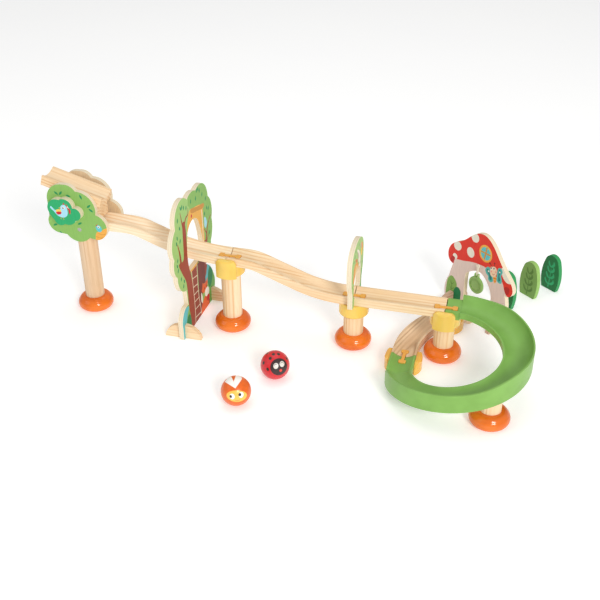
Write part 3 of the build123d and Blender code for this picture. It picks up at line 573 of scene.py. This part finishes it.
# painted shade: the floor clips are the cups' own yellow plastic, drawn deeper yellow for the shade they
# stand in
CLIP_SHADE_YELLOW = (244, 188, 82)
for node, across, rgb in (
    ("tree_tower_connector", Y_AXIS, CUP_YELLOW),
    ("rabbit_tower_connector", Y_AXIS, CUP_YELLOW),
    ("spiral_tower_connector", Y_AXIS, CUP_YELLOW),
    ("front_floor_clip", curve_across, CLIP_SHADE_YELLOW),
    ("rear_floor_clip", ACROSS, CLIP_SHADE_YELLOW),
):
    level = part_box(node)[1].z - KEY_DEPTH * MM
    dress(node, keyed("yellow_" + node, middle_of(node), across, level, KEY_HALF, rgb))
dress("spiral", plastic("spiral_green", (126, 173, 82), 0.36, (131, 179, 88), gloss=0.3))
dress("bell_disc", plastic("bell_green_skin", (132, 172, 92), 0.34, (142, 182, 104)))
dress("bell_hook", plastic("hook_white_skin", (232, 226, 208), 0.4))
dress("panel_screws", metal("screw_steel"))

PLY_PIECES = {
    "treetop_panel_front": Y_AXIS,
    "treetop_panel_rear": Y_AXIS,
    "bird_cloud": Y_AXIS,
    "rabbit_arch": X_AXIS,
    "tree_panel": X_AXIS,
    "mushroom_panel": ALONG,
}


def thickness_of(node, axis):
    """(middle, thickness) of a flat node along axis."""
    values = [v.co.dot(axis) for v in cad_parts[node].data.vertices]
    return (min(values) + max(values)) / 2 * axis, max(values) - min(values)


for number, (node, axis) in enumerate(PLY_PIECES.items()):
    centre, thick = thickness_of(node, axis)
    dress(node, ply("ply_" + node, centre, axis, thick, number))

# painted light: each leaf has one paint, given as a shaded copy on the big faces and a lit copy on the edges
dark_leaf = {"rgb": (32, 112, 62), "edge": (56, 160, 92)}
light_leaf = {"rgb": (122, 160, 82), "edge": (156, 198, 108)}
for node, look in (("leaf_domino_1", dark_leaf), ("leaf_domino_2", light_leaf), ("leaf_domino_3", dark_leaf)):
    dress(node, paint("paint_" + node, look["rgb"], edge=look["edge"], axis=ALONG))

# ---------------------------------------------------------------- inks

CANOPY = ink("canopy", (137, 185, 95))
CANOPY_LIGHT = ink("canopy_light", (160, 202, 118))
LEAF_MARK = ink("leaf_mark", (32, 142, 86))
TRUNK = ink("trunk", (158, 66, 40))
DOOR = ink("door", (122, 50, 38))
LADDER_SHADE = ink("ladder_shade", (150, 62, 40))
CREAM = ink("cream", (238, 226, 196))
OCHRE = ink("ochre", (236, 178, 78))
OCHRE_DARK = ink("ochre_dark", (205, 145, 62))
SKY = ink("sky", (96, 196, 204))
PALE_BLUE = ink("pale_blue", (165, 220, 236))
BUSH = ink("bush", (34, 136, 78))
MEADOW = ink("meadow", (112, 180, 84))
FOX = ink("fox", (226, 98, 40))
WHITE = ink("white", (244, 242, 232))
SCARF = ink("scarf", (204, 40, 48))
BLACK = ink("black", (44, 38, 38))
CLOUD = ink("cloud", (42, 169, 106))
CAP = ink("cap", (224, 56, 42))
CAP_DARK = ink("cap_dark", (182, 42, 40))
SPOT = ink("spot", (236, 232, 218))
STEM = ink("stem", (224, 204, 196))
TEAL = ink("teal", (86, 186, 180))
TEAL_DARK = ink("teal_dark", (42, 124, 120))
SKIN = ink("skin", (240, 208, 176))
BLUSH = ink("blush", (238, 150, 140))
CARROT = ink("carrot", (244, 168, 84))
CARROT_PALE = ink("carrot_pale", (250, 206, 140))
RABBIT_GREEN = ink("rabbit_green", (176, 212, 132))
RABBIT_BODY = ink("rabbit_body", (244, 236, 218))
EAR_PINK = ink("ear_pink", (206, 178, 172))
PAW = ink("paw", (216, 140, 88))
YELLOW = ink("yellow", (244, 206, 92))
NEST = ink("nest", (238, 172, 76))
LEAF_LIGHT = ink("leaf_light", (126, 168, 80))
LEAF_DEEP = ink("leaf_deep", (28, 122, 74))
VEIN_DARK = ink("vein_dark", (86, 122, 52))
VEIN_LIGHT = ink("vein_light", (50, 164, 106))

# ---------------------------------------------------------------- tree arch

tree_face = Vector((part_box("tree_panel")[1].x, 0, 0))


def marks(places, length, width, colour):
    """Leaf marks at (u, v, turn)."""
    return [(colour, leaf(u, v, length, width, turn)) for u, v, turn in places]


tree_art = [
    (
        CANOPY_LIGHT,
        blob((-13, 234), (-10, 218), (-3, 208), (-8, 170), (-20, 120), (-40, 60), (-90, 80), (-90, 240)),
    ),
    (SKY, blob((-36, 48), (-60, 50), (-74, 20), (-70, -10), (-52, -10), (-50, 20), (-44, 36))),
    (MEADOW, blob((-34, 38), (-50, 24), (-54, -8), (-26, -8), (-26, 20))),
    (BUSH, blob((-38, 33), (-27, 22), (-29, 9), (-44, 15), (-48, 26))),
    (SKY, blob((40, 84), (60, 82), (66, 60), (52, 44), (38, 50))),
    (MEADOW, blob((76, 52), (92, 36), (88, -6), (52, -8), (56, 20), (66, 40))),
    (BUSH, blob((70, 68), (77, 55), (75, 42), (69, 33), (60, 30), (53, 42), (56, 59), (62, 67))),
    (DOOR, polygon((12, 102), (43, 96), (44, 60), (30, 48), (24, 30), (24, -8), (10, -8))),
    (DOOR, polygon((20, 14), (56, 10), (56, -8), (18, -8))),
    (
        OCHRE,
        blob(
            (-20, 160), (-18, 186), (-6, 206), (12, 204), (48, 192), (50, 160), (46, 118), (-22, 118),
            steps=3,
        ),
    ),
    (OCHRE_DARK, blob((2, 207), (30, 198), (55, 193), (55, 185), (25, 192), (2, 199), steps=3)),
    (CREAM, ribbon([(46, 185), (47, 160), (44, 124)], [3, 3, 3])),
    (PALE_BLUE, blob((55, 166), (62, 163), (66, 152), (60, 145), (54, 152))),
    (TRUNK, ribbon([(56, 116), (64, 138), (72, 150), (84, 158)], [7, 4, 3, 2])),
    (TRUNK, ribbon([(62, 134), (56, 142), (51, 148)], [3, 2, 1])),
    (TRUNK, ribbon([(59, 118), (70, 128), (76, 130)], [3, 2, 1])),
    (TRUNK, blob((43, 96), (44, 122), (58, 124), (60, 108), (56, 82), (44, 60), steps=3)),
    (DOOR, polygon((18, 102), (44, 100), (43, 49), (31, 52), (22, 30), (20, 2))),
    (
        TRUNK,
        blob(
            (-37, 198), (-38, 183), (-40, 148), (-45, 137), (-62, 139), (-52, 118), (-39, 96), (-36, 73),
            (-34, 40), (-29, 16), (-30, -8), (-14, -8), (-11, 19), (-11, 45), (-12, 71), (-17, 97),
            (-20, 110), (-21, 125), (-25, 149), (-24, 176), (-27, 196), (-31, 200), steps=4,
        ),
    ),
    (CANOPY_LIGHT, blob((-51, 170), (-40, 158), (-42, 139), (-49, 150), steps=4)),
    (TRUNK, ribbon([(-35, 190), (-39, 206), (-42, 221)], [5, 3, 1])),
    (TRUNK, ribbon([(-30, 190), (-22, 201), (-12, 204), (-10, 214)], [5, 3.5, 2.5, 1])),
    (TRUNK, ribbon([(-53, 132), (-55, 154), (-61, 175)], [8, 5, 1.5])),
    (
        LADDER_SHADE,
        polygon((-14, 102), (11, 101), (9, 66), (11, 39), (16, -4), (-12, -4), (-10, 19), (-10, 45)),
    ),
    (BLACK, polygon((-14, 108), (8, 112), (26, 112), (22, 103), (-12, 103))),
    (OCHRE, polygon((-20, 110), (-17, 101), (10, 101), (22, 108), (24, 111), (10, 106), (-13, 106))),
    (CREAM, ribbon([(-14, 102), (-12, 71), (-10.5, 45), (-10.5, 19), (-13, -4)], 1.6)),
    (CREAM, ribbon([(10, 102), (8, 66), (10, 39), (14, 17), (16, -4)], 1.6)),
    (SCARF, ellipse(2, 194, 2.6, 3.2)),
]
RUNGS = (
    ((-14, 87), (8, 82)),
    ((-13, 70), (8, 66)),
    ((-12, 55), (9, 53)),
    ((-11, 41), (10, 39)),
    ((-11, 26), (12, 24)),
    ((-12, 11), (14, 7)),
)
tree_art += [(CREAM, ribbon(ends, 1.5)) for ends in RUNGS]
tree_art += [
    (FOX, blob((40, 26), (52, 14), (50, -6), (18, -6), (18, 12), (28, 22))),
    (WHITE, blob((21, 41), (25, 30), (23, 19), (18, 28), steps=4)),
    (FOX, polygon((26, 47), (29, 56), (35, 50), (43, 50), (52, 55), (52, 44), (46, 34), (30, 34), (22, 43))),
    (WHITE, blob((52, 36), (57, 25), (49, 19), (37, 26), (39, 36), steps=4)),
    (BLACK, ellipse(36, 41, 1.3, 1.6)),
    (BLACK, ellipse(45, 41, 1.3, 1.6)),
    (SCARF, blob((46, 21), (55, 20), (57, 12), (50, 8), (42, 16), steps=4)),
]
tree_art += marks(
    (
        (30, 226, 60), (36, 226, 110), (42, 221, 80), (52, 210, 75), (24, 215, 85), (3, 219, 80),
        (66, 196, 60), (69, 178, 100), (76, 174, 60), (58, 172, 95), (-39, 226, 115), (-34, 226, 75),
        (-27, 222, 95), (-17, 217, 80), (-54, 212, 75), (-48, 196, 110), (74, 130, 80), (-60, 185, 100),
        (-50, 175, 60), (-64, 177, 100), (-65, 148, 75), (-68, 140, 110), (-66, 131, 70), (-57, 111, 85),
        (-46, 101, 105), (-50, 94, 80),
    ),
    9.0, 4.2, LEAF_MARK,
)
print_sheet("tree_print", "tree_panel", "run", tree_face, Y_AXIS, Z_AXIS, CANOPY, tree_art)

# ---------------------------------------------------------------- treetop panels and bird cloud

front_face = Vector((0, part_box("treetop_panel_front")[0].y, 0))
rear_face = Vector((0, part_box("treetop_panel_rear")[1].y, 0))
cloud_face = Vector((0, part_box("bird_cloud")[0].y, 0))

treetop_art = marks(
    (
        (-29, 222, -40), (-21, 223, 50), (-8, 219.5, -15), (14, 220, -70), (26, 205, 40), (29, 198, -35),
        (-39, 164.5, 25), (-30, 150, -50), (44, 196, 60), (-44, 186, 60), (6, 172, 30),
    ),
    9.5, 3.6, LEAF_MARK,
)
nest_art = [
    (
        NEST,
        blob((55, 169), (48, 167), (43, 163), (34, 159), (31, 146), (34, 130), (60, 130), (60, 160), steps=4),
    ),
    (OCHRE_DARK, ribbon([(32, 152), (42, 150), (56, 154)], 1.2)),
    (OCHRE_DARK, ribbon([(32, 145), (43, 143), (57, 147)], 1.2)),
    (OCHRE_DARK, ribbon([(36, 158), (46, 157), (57, 162)], 1.0)),
    (SKY, ellipse(39, 167, 5.0, 6.4, 15)),
    (WHITE, ellipse(38.7, 169.8, 2.2, 2.2)),
    (BLACK, ellipse(38.4, 169.6, 1.1, 1.1)),
    (SCARF, polygon((34, 172), (38, 175), (35.5, 170.5))),
]
print_sheet(
    "treetop_front_print", "treetop_panel_front", "run",
    front_face, X_AXIS, Z_AXIS, CANOPY, treetop_art + nest_art,
)
print_sheet(
    "treetop_rear_print", "treetop_panel_rear", "run",
    rear_face, -X_AXIS, Z_AXIS, CANOPY, treetop_art,
)
bird_art = [
    (
        PALE_BLUE,
        blob(
            (-35, 203), (-29, 197), (-24, 199), (-19, 200), (-18, 205), (-13, 208.5), (-8.5, 206), (-7, 201),
            (-7, 193), (-11, 187), (-18, 185), (-26, 188), (-31, 194), (-37, 200),
        ),
    ),
    (YELLOW, blob((-27, 197.5), (-23, 199), (-19, 199), (-18.5, 195), (-27, 193.6), steps=4)),
    (SCARF, blob((-27.5, 193.8), (-18.5, 195), (-19.5, 190.8), (-25.5, 189.5), steps=4)),
    (SCARF, ribbon([(-8, 209), (-5.5, 203), (-3, 199.5), (-3.6, 193)], [1.5, 3, 3.4, 2.4])),
    (WHITE, ribbon([(-6.6, 206), (-4.4, 202.6)], 1.2)),
    (SCARF, polygon((-14, 208), (-12, 212), (-10, 208.4))),
    (WHITE, ellipse(-13.8, 202.4, 2.4, 2.4)),
    (BLACK, ellipse(-14.2, 202.2, 1.3, 1.3)),
    (OCHRE, polygon((-18.6, 203), (-22.5, 201.6), (-18.4, 200.6))),
    (OCHRE_DARK, ribbon([(-20, 186), (-20.5, 181.5)], 0.9)),
    (OCHRE_DARK, ribbon([(-16, 185.4), (-15.6, 181)], 0.9)),
]
print_sheet("bird_print", "bird_cloud", "run", cloud_face, X_AXIS, Z_AXIS, CLOUD, bird_art)

# ---------------------------------------------------------------- rabbit arch

rabbit_face = Vector((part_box("rabbit_arch")[1].x, 0, 0))
rabbit_art = [
    (
        RABBIT_BODY,
        blob((10, 142), (19, 140), (24, 128), (20, 112), (16, 96), (-12, 96), (-16, 118), (0, 132)),
    ),
    (
        CARROT,
        blob(
            (-14, 156), (-2, 151), (5, 143), (4, 134), (-8, 128), (-20, 126), (-31, 128), (-29, 142),
            (-25, 153),
        ),
    ),
    (CARROT_PALE, blob((-12, 150), (-5, 147), (0, 141), (-4, 136), (-12, 134), (-19, 137), (-18, 145))),
    (
        RABBIT_BODY,
        blob((-7, 175), (2, 171), (13, 162), (20, 151), (20, 141), (11, 144), (4, 151), (6, 158), (-2, 167)),
    ),
    (EAR_PINK, blob((-3, 169), (3, 164), (8, 156), (5, 154), (2, 160), (-1, 165), steps=4)),
    (PAW, blob((-18, 163), (-8, 160), (-1, 155), (-2, 152), (-10, 155), (-17, 159), steps=4)),
    (EAR_PINK, ellipse(22, 169, 4, 4)),
    (CARROT, blob((26, 173), (33, 168), (37, 158), (33, 154), (27, 163), steps=4)),
    (YELLOW, blob((24, 163), (31, 158), (33, 149), (27, 148), (22, 155), steps=4)),
    (MEADOW, blob((28, 120), (40, 112), (44, 60), (24, 40), (20, 80), steps=4)),
]
rabbit_art += marks(
    ((-16, 177, 70), (-22, 170, 40), (-28, 164, 100), (6, 178, 80), (36, 132, 70)),
    7.0, 3.4, LEAF_MARK,
)
print_sheet(
    "rabbit_print", "rabbit_arch", "run",
    rabbit_face, Y_AXIS, Z_AXIS, RABBIT_GREEN, rabbit_art,
)

# ---------------------------------------------------------------- mushroom arch

MUSHROOM_Q = 5.0  # the panel's middle lies this far across the exit line


def exit_middle():
    """A point on the exit line, from the ramp's own box along the line's direction."""
    values = [v.co.dot(ACROSS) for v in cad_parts["exit_ramp"].data.vertices]
    return (min(values) + max(values)) / 2 * ACROSS


def exit_face(node, side):
    """A point on the panel face that looks along side, under the panel's middle."""
    values = [v.co.dot(ALONG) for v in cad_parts[node].data.vertices]
    return (max(values) if side > 0 else min(values)) * ALONG


exit_across = exit_middle()
mushroom_face = exit_face("mushroom_panel", -1) + exit_across + MUSHROOM_Q * MM * ACROSS
mushroom_art = [
    (
        CAP,
        blob(
            (-66, 71), (-63, 80), (-55, 83.4), (-41, 87), (-26, 92), (-10, 95.6), (8, 97), (22, 94),
            (35, 91), (46, 88.5), (50.5, 84), (54, 76), (59, 69), (66, 67), (73, 74), (90, 90), (60, 170),
            (-20, 190), (-100, 120), (-80, 72),
        ),
    ),
    (SPOT, ellipse(-20.5, 139.5, 8.8, 8.4, 10)),
    (SPOT, ellipse(-58.6, 108, 9.2, 8.2, 30)),
    (SPOT, ellipse(-27.6, 109, 8.6, 9.2, 15)),
    (SPOT, ellipse(-62.6, 86.6, 5.4, 5.2, 0)),
    (CAP_DARK, blob((-70, 84), (-65, 85), (-62.5, 82), (-66.5, 72), (-72, 76), steps=4)),
    (SPOT, blob((44, 112), (46, 100), (54, 92), (62, 91), (74, 98), (60, 116), steps=4)),
    (CAP_DARK, blob((53.8, 79), (58.5, 83.5), (65, 82), (64, 72), (58, 70), steps=4)),
    (OCHRE, ellipse(5.9, 121.3, 14.6, 15.2)),
    (SKY, ellipse(5.9, 121.3, 11.2, 11.6)),
    (OCHRE_DARK, ribbon([(7.4, 132.5), (4.4, 110.2)], 3.0)),
    (OCHRE_DARK, ribbon([(-5.2, 121.8), (17, 122.2)], 3.0)),
    (
        TEAL,
        blob(
            (14, 101), (9, 94), (11.5, 87.5), (16.5, 84.5), (17.6, 78.4), (23, 75.8), (28.4, 80), (27, 86.5),
            (23, 90), (21, 99), steps=4,
        ),
    ),
    (
        TEAL,
        blob(
            (36.6, 108), (42.5, 110.2), (46.6, 105), (44.4, 96.5), (47.4, 90), (45.5, 83.3), (39.4, 82.4),
            (35, 86), (35.4, 92), (35, 100), steps=4,
        ),
    ),
    (
        TEAL_DARK,
        blob(
            (14.6, 97.6), (12.4, 92.6), (17.6, 87.4), (20.4, 80.6), (24.8, 79.8), (24.2, 86), (18.6, 92),
            steps=4,
        ),
    ),
    (TEAL_DARK, blob((39, 106.6), (42.8, 103.6), (41, 96), (43.6, 88.6), (40, 85), (38.4, 92), steps=4)),
    (WHITE, ellipse(16.2, 93.2, 1.4, 1.6)),
    (WHITE, ellipse(40.6, 102.4, 1.4, 1.6)),
    (BLACK, ribbon([(24, 104), (21, 106.4), (18, 108.6)], 0.8)),
    (BLACK, ribbon([(26.5, 105), (27.2, 108.6), (27.6, 112)], 0.8)),
    (BLACK, ellipse(17.4, 109, 1.4, 1.4)),
    (BLACK, ellipse(27.6, 113, 1.4, 1.4)),
    (OCHRE, blob((27.6, 88), (34.4, 90.4), (35.2, 84), (33.6, 78.6), (30.4, 79.4), steps=4)),
    (FOX, ribbon([(28.4, 86), (35, 87.4)], 1.8)),
    (FOX, ribbon([(29.4, 81.6), (35, 82.6)], 1.6)),
    (SKIN, ellipse(27, 97, 7.4, 10.2, -18)),
    (WHITE, ellipse(21.8, 101.4, 2.2, 2.6)),
    (WHITE, ellipse(27.6, 103, 2.2, 2.6)),
    (BLACK, ellipse(21.4, 101.6, 1.3, 1.7)),
    (BLACK, ellipse(27.4, 103.2, 1.3, 1.7)),
    (BLUSH, ellipse(22.2, 95.8, 1.7, 1.5)),
    (BLUSH, ellipse(32, 98.8, 1.7, 1.5)),
    (CAP_DARK, ribbon([(24.8, 92.8), (27.6, 91.8), (30.4, 94.4)], 0.8)),
    (
        LEAF_LIGHT,
        blob((-76, 4), (-77, 22), (-74.6, 38), (-66.6, 46.6), (-57.6, 43), (-52, 33.5), (-56, 22), (-62, 6)),
    ),
    (LEAF_DEEP, blob((-60, 4), (-57.4, 24), (-49.5, 31.4), (-41.6, 26), (-41, 14), (-42, 4))),
    (VEIN_DARK, ribbon([(-66, 12), (-64.6, 24), (-65.4, 38)], [1.4, 1.4, 0.6])),
    (VEIN_DARK, ribbon([(-70.6, 28), (-65, 21), (-58.6, 26)], [0.6, 1.4, 0.6])),
    (VEIN_DARK, ribbon([(-71, 38), (-65, 31), (-59.6, 36)], [0.6, 1.4, 0.6])),
]
print_sheet(
    "mushroom_print", "mushroom_panel", "run", mushroom_face, ACROSS, Z_AXIS, STEM, mushroom_art
)

# ---------------------------------------------------------------- leaf dominoes


def vein_art(colour, height):
    """Four brushed U-shaped ticks, one over another, on a short stalk, on a leaf of this height."""
    art = [(colour, ribbon([(-1.0, 4), (0.2, 0.3 * height), (0.6, 0.62 * height)], [2.2, 1.8, 1.2]))]
    for level in (0.16, 0.34, 0.52, 0.68):
        foot = level * height
        reach = 10.0 - 6.5 * level
        right = [(-0.6, foot), (0.55 * reach, foot + 1.6), (reach, foot + 6), (reach - 1, foot + 11)]
        left = [(0.6, foot - 1), (-0.6 * reach, foot + 1.4), (-reach, foot + 6.5), (-reach - 0.5, foot + 10)]
        art.append((colour, ribbon(right, [1.8, 4.8, 4.4, 1.2])))
        art.append((colour, ribbon(left, [1.6, 3.6, 3.2, 1.0])))
    return art


for number, vein in ((1, VEIN_LIGHT), (2, VEIN_DARK), (3, VEIN_LIGHT)):
    node = f"leaf_domino_{number}"
    values = [v.co.dot(ACROSS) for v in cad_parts[node].data.vertices]
    middle = (min(values) + max(values)) / 2 * ACROSS
    height = (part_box(node)[1].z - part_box(node)[0].z) / MM
    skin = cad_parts[node].data.materials[0]
    for side, word in ((-1, "near"), (1, "far")):
        face = exit_face(node, side) + middle
        print_sheet(
            f"leaf_{number}_{word}_print", node, f"leaf_{number}",
            face, -side * ACROSS, Z_AXIS, skin, vein_art(vein, height),
        )

# ---------------------------------------------------------------- painted balls

DISC_EDGE = 0.05  # half widths of the soft edges of painted shapes
PLATE_EDGE = 0.02


class Ball(Shade):
    """Gloss paint on a wooden ball, with painted spots placed by direction from its centre."""

    def __init__(self, node, rgb, facing, up):
        super().__init__("paint_" + node)
        low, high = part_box(node)
        radius = (high.z - low.z) / 2
        from_centre = self.vector("SUBTRACT", self.place, (low + high) / 2)
        self.unit = self.vector("MULTIPLY", from_centre, (1 / radius, 1 / radius, 1 / radius))
        self.facing = facing.normalized()
        self.right = up.cross(self.facing).normalized()
        self.up = self.facing.cross(self.right)
        mottle = self.noise(self.unit, 5.0, 3.0)
        self.paint = self.mix(self.step(mottle, 0.3, 0.75), srgb(*rgb), shaded(rgb, 0.93))

    def direction(self, u, v):
        """Unit direction of the place seen at (u, v), in radii, from straight in front of the face."""
        ahead = math.sqrt(max(0.0, 1 - u * u - v * v))
        return (u * self.right + v * self.up + ahead * self.facing).normalized()

    def disc(self, u, v, half_u, half_v, turn=0.0):
        """1 inside an ellipse on the ball around (u, v), with half axes in radii."""
        centre = self.direction(u, v)
        side = self.up.cross(centre).normalized()
        top = centre.cross(side)
        c, s = math.cos(math.radians(turn)), math.sin(math.radians(turn))
        a = self.math("MULTIPLY", self.dot(self.unit, c * side + s * top), 1 / half_u)
        b = self.math("MULTIPLY", self.dot(self.unit, c * top - s * side), 1 / half_v)
        reach = self.math("ADD", self.math("MULTIPLY", a, a), self.math("MULTIPLY", b, b))
        near = self.math("GREATER_THAN", self.dot(self.unit, centre), 0.0)
        rim = self.step(self.math("SUBTRACT", 1.0, reach), -DISC_EDGE, DISC_EDGE)
        return self.math("MULTIPLY", rim, near)

    def plate(self, corners):
        """1 inside a straight-sided shape, given anticlockwise in radii as seen in front of the face."""
        u = self.dot(self.unit, self.right)
        v = self.dot(self.unit, self.up)
        mask = self.step(self.dot(self.unit, self.facing), -PLATE_EDGE, PLATE_EDGE)
        for (au, av), (bu, bv) in zip(corners, corners[1:] + corners[:1]):
            span = math.hypot(bu - au, bv - av)
            nu, nv = (av - bv) / span, (bu - au) / span
            reach = self.math("MULTIPLY_ADD", u, nu, self.math("MULTIPLY_ADD", v, nv, -nu * au - nv * av))
            mask = self.math("MULTIPLY", mask, self.step(reach, -PLATE_EDGE, PLATE_EDGE))
        return mask

    def lay(self, mask, rgb):
        self.paint = self.mix(mask, self.paint, srgb(*rgb))

    def close(self):
        self.colour(self.paint)
        fine = self.noise(self.unit, 60.0, 2.0)
        self.put(self.bsdf.inputs["Roughness"], self.math("MULTIPLY_ADD", fine, 0.1, 0.3))
        self.finish(Specular_IOR_Level=0.45, Coat_Weight=0.2, Coat_Roughness=0.15)
        self.bump(fine, 0.05, 0.0001)
        return self.mat


FACE_WAY = Vector((0.27, -0.76, 0.59))  # both painted faces look this way at rest
EYE_WHITE = (250, 248, 242)
EYE_DARK = (52, 34, 34)
BLAZE = (250, 247, 240)

fox_ball = Ball("orange_ball", (236, 104, 18), FACE_WAY, Z_AXIS)
left_blaze = [(-0.02, 0.16), (-0.11, 0.60), (-0.27, 0.95), (-0.50, 0.88), (-0.69, 0.61)]
right_blaze = [(-0.02, 0.16), (0.43, 0.74), (0.38, 0.90), (0.06, 1.02), (-0.11, 0.60)]
fox_ball.lay(fox_ball.plate(left_blaze), BLAZE)
fox_ball.lay(fox_ball.plate(right_blaze), BLAZE)
fox_ball.lay(fox_ball.disc(0.06, -0.38, 0.66, 0.40, -4), (246, 196, 84))
fox_ball.lay(fox_ball.disc(-0.25, -0.36, 0.17, 0.20), EYE_WHITE)
fox_ball.lay(fox_ball.disc(0.34, -0.28, 0.17, 0.20), EYE_WHITE)
fox_ball.lay(fox_ball.disc(-0.34, -0.35, 0.085, 0.10), EYE_DARK)
fox_ball.lay(fox_ball.disc(0.25, -0.26, 0.095, 0.11), EYE_DARK)
mouth = fox_ball.disc(0.08, -0.58, 0.16, 0.10)
smile = fox_ball.math("SUBTRACT", mouth, fox_ball.disc(0.08, -0.54, 0.17, 0.10), clamp=True)
fox_ball.lay(smile, (226, 120, 70))
dress("orange_ball", fox_ball.close())

bug = Ball("ladybird_ball", (218, 34, 44), FACE_WAY, Z_AXIS)
bug.lay(bug.disc(0.27, -0.19, 0.60, 0.58, 12), EYE_DARK)
SPOT_PLACES = (
    (0.25, 0.70), (-0.10, 0.71), (-0.33, 0.44), (-0.79, 0.16), (-0.54, -0.29), (-0.50, 0.79), (0.80, 0.38),
)
for u, v in SPOT_PLACES:
    bug.lay(bug.disc(u, v, 0.11, 0.12), (48, 44, 36))
BUG_EYE = (226, 222, 212)
bug.lay(bug.disc(0.02, -0.10, 0.165, 0.20, -10), BUG_EYE)
bug.lay(bug.disc(0.45, 0.02, 0.18, 0.20, -10), BUG_EYE)
for u, v in ((0.02, -0.07), (0.45, 0.05)):
    upper, lower = bug.disc(u, v, 0.115, 0.12), bug.disc(u, v - 0.035, 0.10, 0.11)
    lid = bug.math("SUBTRACT", upper, lower, clamp=True)
    bug.lay(lid, (120, 108, 104))
bug.lay(bug.disc(0.34, -0.41, 0.10, 0.10), (236, 66, 50))
dress("ladybird_ball", bug.close())

# ---------------------------------------------------------------- floor, light and camera


def quad_object(name, corners, material):
    """A flat sheet with these four corners."""
    data = bpy.data.meshes.new(name)
    data.from_pydata(corners, [], [[0, 1, 2, 3]])
    data.materials.append(material)
    data.update()
    made = bpy.data.objects.new(name, data)
    bpy.context.scene.collection.objects.link(made)
    return made


WHITE_LIGHT = (1.0, 1.0, 1.0, 1.0)
FLOOR_HALF = 4.0
FLOOR_GLOW = 0.24  # lifts the floor to the even white of a studio sheet
FLOOR_GAP = 0.0002  # keeps the floor clear of the feet
floor_skin = Shade("studio_floor")
floor_tone = floor_skin.noise(floor_skin.place, 3.0, 1.0)
floor_skin.colour(floor_skin.mix(floor_tone, srgb(250, 250, 249), srgb(248, 248, 248)))
floor_skin.finish(Roughness=0.9, Specular_IOR_Level=0.1, Emission_Strength=FLOOR_GLOW)
floor_skin.bsdf.inputs["Emission Color"].default_value = WHITE_LIGHT
box_middle = (cad_box[0] + cad_box[1]) / 2
ground = cad_box[0].z - FLOOR_GAP
floor_corners = [
    (box_middle.x + a * FLOOR_HALF, box_middle.y + b * FLOOR_HALF, ground)
    for a, b in ((-1, -1), (1, -1), (1, 1), (-1, 1))
]
floor = quad_object("studio_floor", floor_corners, floor_skin.mat)


def softbox(name, place, aim, size, power, tint=(1.0, 1.0, 1.0)):
    """A round area light at place, looking at aim. Its power is in watts."""
    lamp = bpy.data.lights.new(name, "AREA")
    lamp.shape = "DISK"
    lamp.size = size
    lamp.energy = power
    lamp.color = tint
    made = bpy.data.objects.new(name, lamp)
    made.location = place
    made.rotation_euler = (Vector(aim) - Vector(place)).to_track_quat("-Z", "Y").to_euler()
    bpy.context.scene.collection.objects.link(made)
    return made


AIM = (0.35, 0.0, 0.1)
WARM = (1.0, 0.985, 0.96)
COOL = (0.97, 0.985, 1.0)
WORLD_LIGHT = 0.56
softbox("key_light", (1.9, -2.1, 1.5), AIM, 0.9, 42.0, WARM)
softbox("top_light", (0.2, 0.6, 2.8), AIM, 2.4, 13.0)
softbox("left_fill", (-1.8, -1.6, 1.9), AIM, 1.8, 6.0, COOL)

world = bpy.data.worlds.new("studio_world")
world.use_nodes = True
sky = world.node_tree.nodes["Background"]
sky.inputs["Color"].default_value = WHITE_LIGHT
sky.inputs["Strength"].default_value = WORLD_LIGHT
bpy.context.scene.world = world
bpy.context.scene.view_settings.view_transform = "Standard"

CAMERA_PLACE = (0.7057, -1.2162, 0.8373)
CAMERA_DOWN = 31.40  # the camera's angles are in degrees
CAMERA_HEADING = 15.506
CAMERA_ROLL = -0.33
LENS = 54.84  # in millimetres, on the sensor below
SENSOR = 36.0
NEAR_CLIP = 0.01
camera_data = bpy.data.cameras.new("camera")
camera_data.lens = LENS
camera_data.sensor_width = SENSOR
camera_data.clip_start = NEAR_CLIP
camera = bpy.data.objects.new("camera", camera_data)
camera.matrix_world = (
    Matrix.Translation(CAMERA_PLACE)
    @ Matrix.Rotation(math.radians(CAMERA_HEADING), 4, "Z")
    @ Matrix.Rotation(math.radians(90.0 - CAMERA_DOWN), 4, "X")
    @ Matrix.Rotation(math.radians(CAMERA_ROLL), 4, "Z")
)
bpy.context.scene.collection.objects.link(camera)
bpy.context.scene.camera = camera
